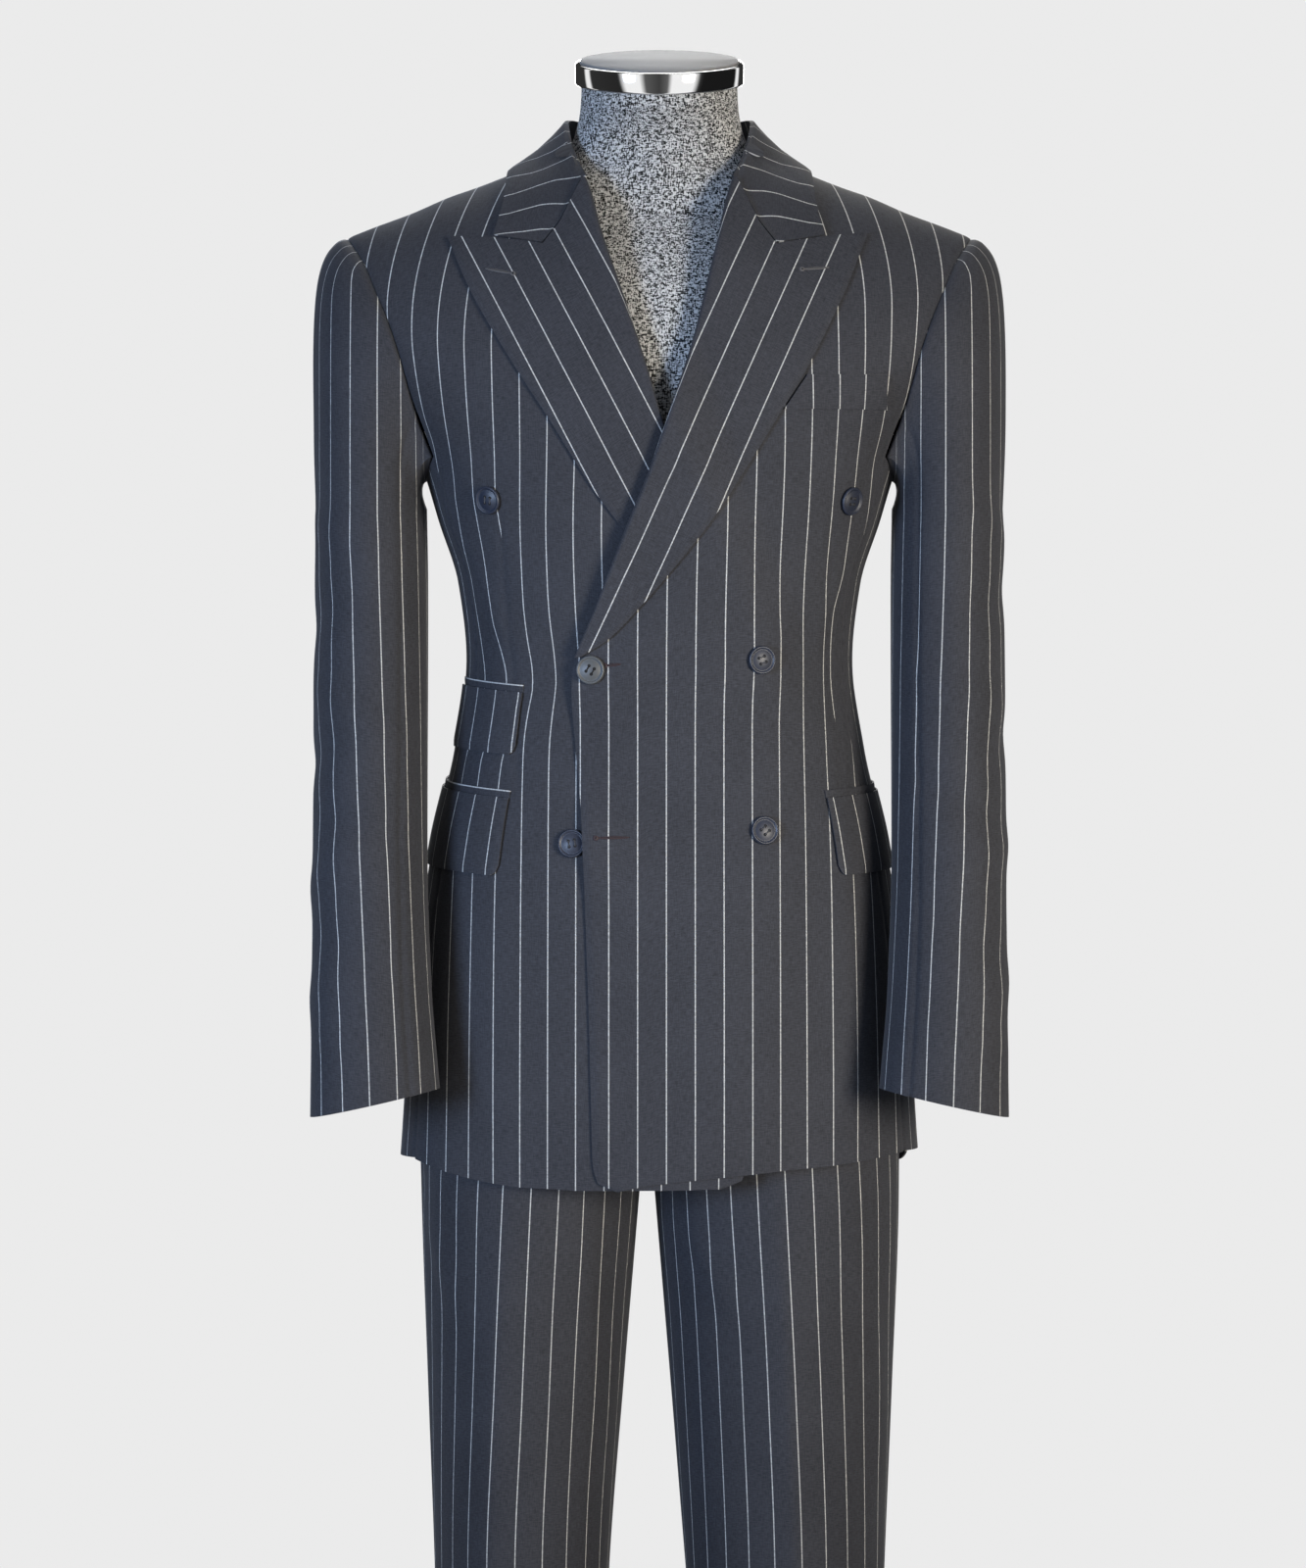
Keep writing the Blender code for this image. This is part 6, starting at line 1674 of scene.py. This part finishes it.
def front_frame(side, x, z, lift=0.0):
    def at(x, z):
        return Vector(on_front(side, np.array(x), np.array(z), np.array(lift)))

    step = 0.002
    across = at(x + step, z) - at(x - step, z)
    up = at(x, z + step) - at(x, z - step)
    return at(x, z), across.cross(up).normalized() * side


def add_buttons():
    for i, place in enumerate(BUTTONS):
        point, normal = front_frame(place.side, place.x, place.z)
        # The fastened button's thread takes the near-black painted hole shade, so it reads as dark holes
        horn, thread = (HORN_PALE, HOLE_SHADE) if place.name == "button_fastened" else (HORN, THREAD)
        matrix = seat_matrix(point + normal * BUTTON_SEAT, normal, BUTTON_SPIN * i)
        add_button(place.name, BUTTON_RADIUS, BUTTON_THICKNESS, matrix, horn, thread)


def add_cuff_buttons(side):
    for number in range(4):
        above_cuff = CUFF_BUTTON_FIRST + number * CUFF_BUTTON_PITCH
        around = SLEEVE_BACK_SEAM_CUFF + CUFF_BUTTON_TURN
        cuff = CUFF_LEVEL - CUFF_SLANT * cos(radians(around))
        down = 2.0 - above_cuff / (SLEEVE_START - cuff)

        def at(around, down):
            return Vector(sleeve_point(side, np.array(around), np.array(down)))

        across = at(around + 1.0, down) - at(around - 1.0, down)
        along = at(around, down - 0.01) - at(around, down + 0.01)
        normal = along.cross(across).normalized() * side
        matrix = seat_matrix(at(around, down) + normal * BUTTON_SEAT, normal, CUFF_BUTTON_SPIN * number)
        name = f"cuff_button_{SUIT_WORD[side]}_{number + 1}"
        add_button(name, CUFF_BUTTON_RADIUS, CUFF_BUTTON_THICKNESS, matrix, HORN, THREAD)


def add_flat_ball(bm, segments, centre_x, lift, half_sizes):
    scale = Matrix.Diagonal((*half_sizes, BUTTONHOLE_HEIGHT, 1.0))
    around, rings = segments
    bmesh.ops.create_uvsphere(
        bm, u_segments=around, v_segments=rings, radius=1.0,
        matrix=Matrix.Translation((centre_x, 0.0, lift)) @ scale,
    )


def add_buttonholes():
    """Worked buttonholes: a raised bar of thread with a slit, round at its eye; the slit is painted shade.

    They are far smaller than any solid, so they stand for none.
    """
    threads = {"grey": THREAD_GREY, "red": THREAD_RED}
    for hole in BUTTONHOLES:
        eye, normal = front_frame(hole.side, hole.x_eye, hole.z_eye, hole.lift)
        end, _ = front_frame(hole.side, hole.x_end, hole.z_end, hole.lift)
        middle = (eye + end) / 2.0 + normal * BUTTONHOLE_LIFT
        along = (end - eye).normalized()
        over = normal.cross(along).normalized()
        axes = Matrix((along, over, normal)).transposed().to_4x4()
        length = (end - eye).length
        bm = bmesh.new()
        add_flat_ball(bm, (24, 10), 0.0, 0.0, (length / 2.0, BAR_HALF_WIDTH))
        add_flat_ball(bm, (24, 10), -length / 2.0, 0.0, BAR_EYE)
        thread = set(bm.faces)
        # The slit and its eye: flat balls of near-black painted shade
        add_flat_ball(bm, (16, 8), 0.0, SLIT_LIFT, (length * SLIT_HALF_SHARE, SLIT_HALF_WIDTH))
        add_flat_ball(bm, (16, 8), -length / 2.0, SLIT_LIFT, SLIT_EYE)
        for face in bm.faces:
            face.material_index = 0 if face in thread else 1
        bm.transform(Matrix.Translation(middle) @ axes)
        mesh = bpy.data.meshes.new(hole.name)
        bm.to_mesh(mesh)
        bm.free()
        mesh.shade_smooth()
        show(hole.name, mesh, [threads[hole.thread], HOLE_SHADE], [])


def add_cap_and_stand():
    lean = Matrix.Rotation(radians(NECK_TILT), 4, "X")
    up = (lean @ Vector((0.0, 0.0, 1.0))).normalized()
    foot = Vector((0.0, NECK_CENTRE_Y, NECK_TOP)) + up * SEAT_GAP
    rounds = [(CAP_EDGE * sin(pi / 2.0 * s), CAP_EDGE * cos(pi / 2.0 * s)) for s in (0.0, 0.3, 0.65, 1.0)]
    inner = CAP_RADIUS - CAP_EDGE
    band_profile = [(0.0, CAP_HEIGHT)]
    band_profile += [(inner + out, CAP_HEIGHT - CAP_EDGE + up_by) for out, up_by in rounds]
    band_profile += [(inner + out, CAP_EDGE - down_by) for down_by, out in rounds]
    band_profile.append((0.0, 0.0))
    band = turned_mesh("cap_band", band_profile, 128, seat_matrix(foot, up))
    show("cap_band_chrome", band, [CHROME], ["cap_band"])
    disc = turned_mesh("cap_disc", (
        (0.0, CAP_DISC_THICKNESS), (CAP_DISC_RADIUS - CAP_DISC_THICKNESS / 2.0, CAP_DISC_THICKNESS),
        (CAP_DISC_RADIUS, CAP_DISC_THICKNESS / 2.0), (CAP_DISC_RADIUS, 0.0), (0.0, 0.0),
    ), 128, seat_matrix(foot + up * (CAP_HEIGHT + SEAT_GAP), up))
    show("cap_disc_satin", disc, [SATIN], ["cap_disc"])

    base = turned_mesh("base", (
        (0.0, BASE_THICKNESS), (BASE_RADIUS - BASE_EDGE, BASE_THICKNESS),
        (BASE_RADIUS - 0.3 * BASE_EDGE, BASE_THICKNESS - 0.3 * BASE_EDGE),
        (BASE_RADIUS, BASE_THICKNESS - BASE_EDGE), (BASE_RADIUS, 0.0), (0.0, 0.0),
    ), 128)
    show("base_plate", base, [STEEL], ["base"])
    flange_top = FORM_BOTTOM - SEAT_GAP
    flange_bottom = flange_top - FLANGE_THICKNESS
    flange = turned_mesh("flange", (
        (0.0, flange_top), (FLANGE_RADIUS, flange_top), (FLANGE_RADIUS, flange_bottom), (0.0, flange_bottom),
    ), 64, Matrix.Translation((POLE_X, 0.0, 0.0)))
    show("pole_flange", flange, [STEEL], ["flange"])
    pole_top = flange_bottom - SEAT_GAP
    pole_bottom = BASE_THICKNESS + SEAT_GAP
    pole = turned_mesh("pole", (
        (0.0, pole_top), (POLE_RADIUS, pole_top), (POLE_RADIUS, pole_bottom), (0.0, pole_bottom),
    ), 48, Matrix.Translation((POLE_X, 0.0, 0.0)))
    show("pole_bar", pole, [STEEL], ["pole"])


# Studio

WORLD_FILL = 0.25
# Light that the floor adds to what the camera sees of it, and to nothing else
FLOOR_GLOW = 0.32
FLOOR_RADIUS = 3.3
FLOOR_DROP = 0.0005
# What polished metal mirrors: degrees round from the front, and how bright the room is there
STUDIO_BARS = (
    (-180.0, 0.03), (-124.0, 0.03), (-120.0, 0.90), (-112.0, 0.90), (-108.0, 0.03),
    (-58.0, 0.02), (-50.0, 0.95), (-28.0, 0.95), (-20.0, 0.10), (0.0, 0.05), (12.0, 0.12),
    (18.0, 0.95), (50.0, 0.95), (58.0, 0.03), (64.0, 0.01), (126.0, 0.01), (130.0, 0.90),
    (136.0, 0.90), (140.0, 0.03),
)

# Place, what it aims at and size in metres, power in watts, spread in degrees
Lamp = namedtuple("Lamp", "name place aim size power colour spread")
LAMPS = (
    Lamp("Warm right", (2.3, -2.7, 1.15), (0.0, 0.0, 1.05), (1.0, 1.2), 7.0, (1.0, 0.920, 0.780), 35.0),
    Lamp("Cool left", (-2.3, -2.6, 1.15), (0.0, 0.0, 1.05), (1.0, 1.2), 5.6, (0.50, 0.68, 1.0), 35.0),
    Lamp("Back light", (0.0, 3.0, 2.0), (0.0, 0.0, 0.85), (1.2, 1.2), 13.0, (1.0, 1.0, 1.0), 90.0),
    Lamp("Cap light", (0.0, 0.9, 2.6), (0.0, 0.0, 1.59), (0.8, 0.8), 1.0, (1.0, 1.0, 1.0), 40.0),
)


def floor_material():
    """Pale to the eye, and not mirrored in the chrome."""
    material = plain_material("Pale floor", (0.80, 0.80, 0.80), 0.9)
    tree = material.node_tree
    rays = tree.nodes.new("ShaderNodeLightPath")
    glow = math_node(tree, "MULTIPLY", rays.outputs["Is Camera Ray"], FLOOR_GLOW)
    shader_of(material).inputs["Emission Color"].default_value = (1.0, 1.0, 1.0, 1.0)
    tree.links.new(glow, shader_of(material).inputs["Emission Strength"])
    clear = tree.nodes.new("ShaderNodeBsdfTransparent")
    mix = tree.nodes.new("ShaderNodeMixShader")
    tree.links.new(rays.outputs["Is Glossy Ray"], mix.inputs["Fac"])
    tree.links.new(shader_of(material).outputs[0], mix.inputs[1])
    tree.links.new(clear.outputs[0], mix.inputs[2])
    tree.links.new(mix.outputs[0], tree.nodes["Material Output"].inputs["Surface"])
    return material


def add_floor():
    bm = bmesh.new()
    bmesh.ops.create_circle(bm, cap_ends=True, segments=96, radius=FLOOR_RADIUS)
    mesh = bpy.data.meshes.new("floor")
    bm.to_mesh(mesh)
    bm.free()
    mesh.materials.append(floor_material())
    floor = bpy.data.objects.new("floor", mesh)
    bpy.context.scene.collection.objects.link(floor)
    floor.location.z = -FLOOR_DROP


def add_light(lamp):
    data = bpy.data.lights.new(lamp.name, "AREA")
    data.spread = radians(lamp.spread)
    data.shape = "RECTANGLE"
    data.size, data.size_y = lamp.size
    data.energy = lamp.power
    data.color = lamp.colour
    light = bpy.data.objects.new(lamp.name, data)
    light.location = lamp.place
    light.rotation_mode = "QUATERNION"
    light.rotation_quaternion = (Vector(lamp.aim) - Vector(lamp.place)).to_track_quat("-Z", "Y")
    bpy.context.scene.collection.objects.link(light)


def set_world():
    world = bpy.data.worlds.new("Studio")
    bpy.context.scene.world = world
    world.use_nodes = True
    tree = world.node_tree
    seen = tree.nodes["Background"]
    seen.inputs["Color"].default_value = (0.83, 0.83, 0.83, 1.0)
    seen.inputs["Strength"].default_value = 1.0
    light = tree.nodes.new("ShaderNodeBackground")
    light.inputs["Color"].default_value = (0.84, 0.90, 1.0, 1.0)
    light.inputs["Strength"].default_value = WORLD_FILL
    rays = tree.nodes.new("ShaderNodeLightPath")
    around = tree.nodes.new("ShaderNodeTexCoord")
    split = tree.nodes.new("ShaderNodeSeparateXYZ")
    tree.links.new(around.outputs["Generated"], split.inputs[0])
    ahead = math_node(tree, "MULTIPLY", split.outputs["Y"], -1.0)
    turn = math_node(tree, "ARCTAN2", split.outputs["X"], ahead)
    ramp = tree.nodes.new("ShaderNodeValToRGB")
    tree.links.new(ranged(tree, turn, -pi, pi, 0.0, 1.0), ramp.inputs["Fac"])
    stops = ramp.color_ramp.elements
    while len(stops) < len(STUDIO_BARS):
        stops.new(1.0)
    for stop, (degrees_round, level) in zip(stops, STUDIO_BARS):
        stop.position = (degrees_round + 180.0) / 360.0
        stop.color = (level, level, level, 1.0)
    mirrored = tree.nodes.new("ShaderNodeBackground")
    tree.links.new(ramp.outputs["Color"], mirrored.inputs["Color"])
    fill = tree.nodes.new("ShaderNodeMixShader")
    tree.links.new(rays.outputs["Is Glossy Ray"], fill.inputs["Fac"])
    tree.links.new(light.outputs[0], fill.inputs[1])
    tree.links.new(mirrored.outputs[0], fill.inputs[2])
    mix = tree.nodes.new("ShaderNodeMixShader")
    tree.links.new(rays.outputs["Is Camera Ray"], mix.inputs["Fac"])
    tree.links.new(fill.outputs[0], mix.inputs[1])
    tree.links.new(seen.outputs[0], mix.inputs[2])
    tree.links.new(mix.outputs[0], tree.nodes["World Output"].inputs["Surface"])


def add_camera():
    data = bpy.data.cameras.new("Camera")
    data.lens = 153.0
    data.clip_end = 60.0
    camera = bpy.data.objects.new("Camera", data)
    camera.location = (-0.0048, -5.0, 1.051)
    camera.rotation_euler = (pi / 2.0, 0.0, 0.0)
    bpy.context.scene.collection.objects.link(camera)
    bpy.context.scene.camera = camera


add_form()
for hand in (1, -1):
    add_front(hand)
    add_side(hand)
    add_back(hand)
    add_lapel(hand)
    add_sleeve(hand)
    add_cuff_buttons(hand)
    add_trousers(hand)
add_collar()
add_pockets()
add_waistband()
add_buttons()
add_buttonholes()
add_cap_and_stand()

add_floor()
set_world()
for each in LAMPS:
    add_light(each)
add_camera()
bpy.context.scene.view_settings.view_transform = "Standard"
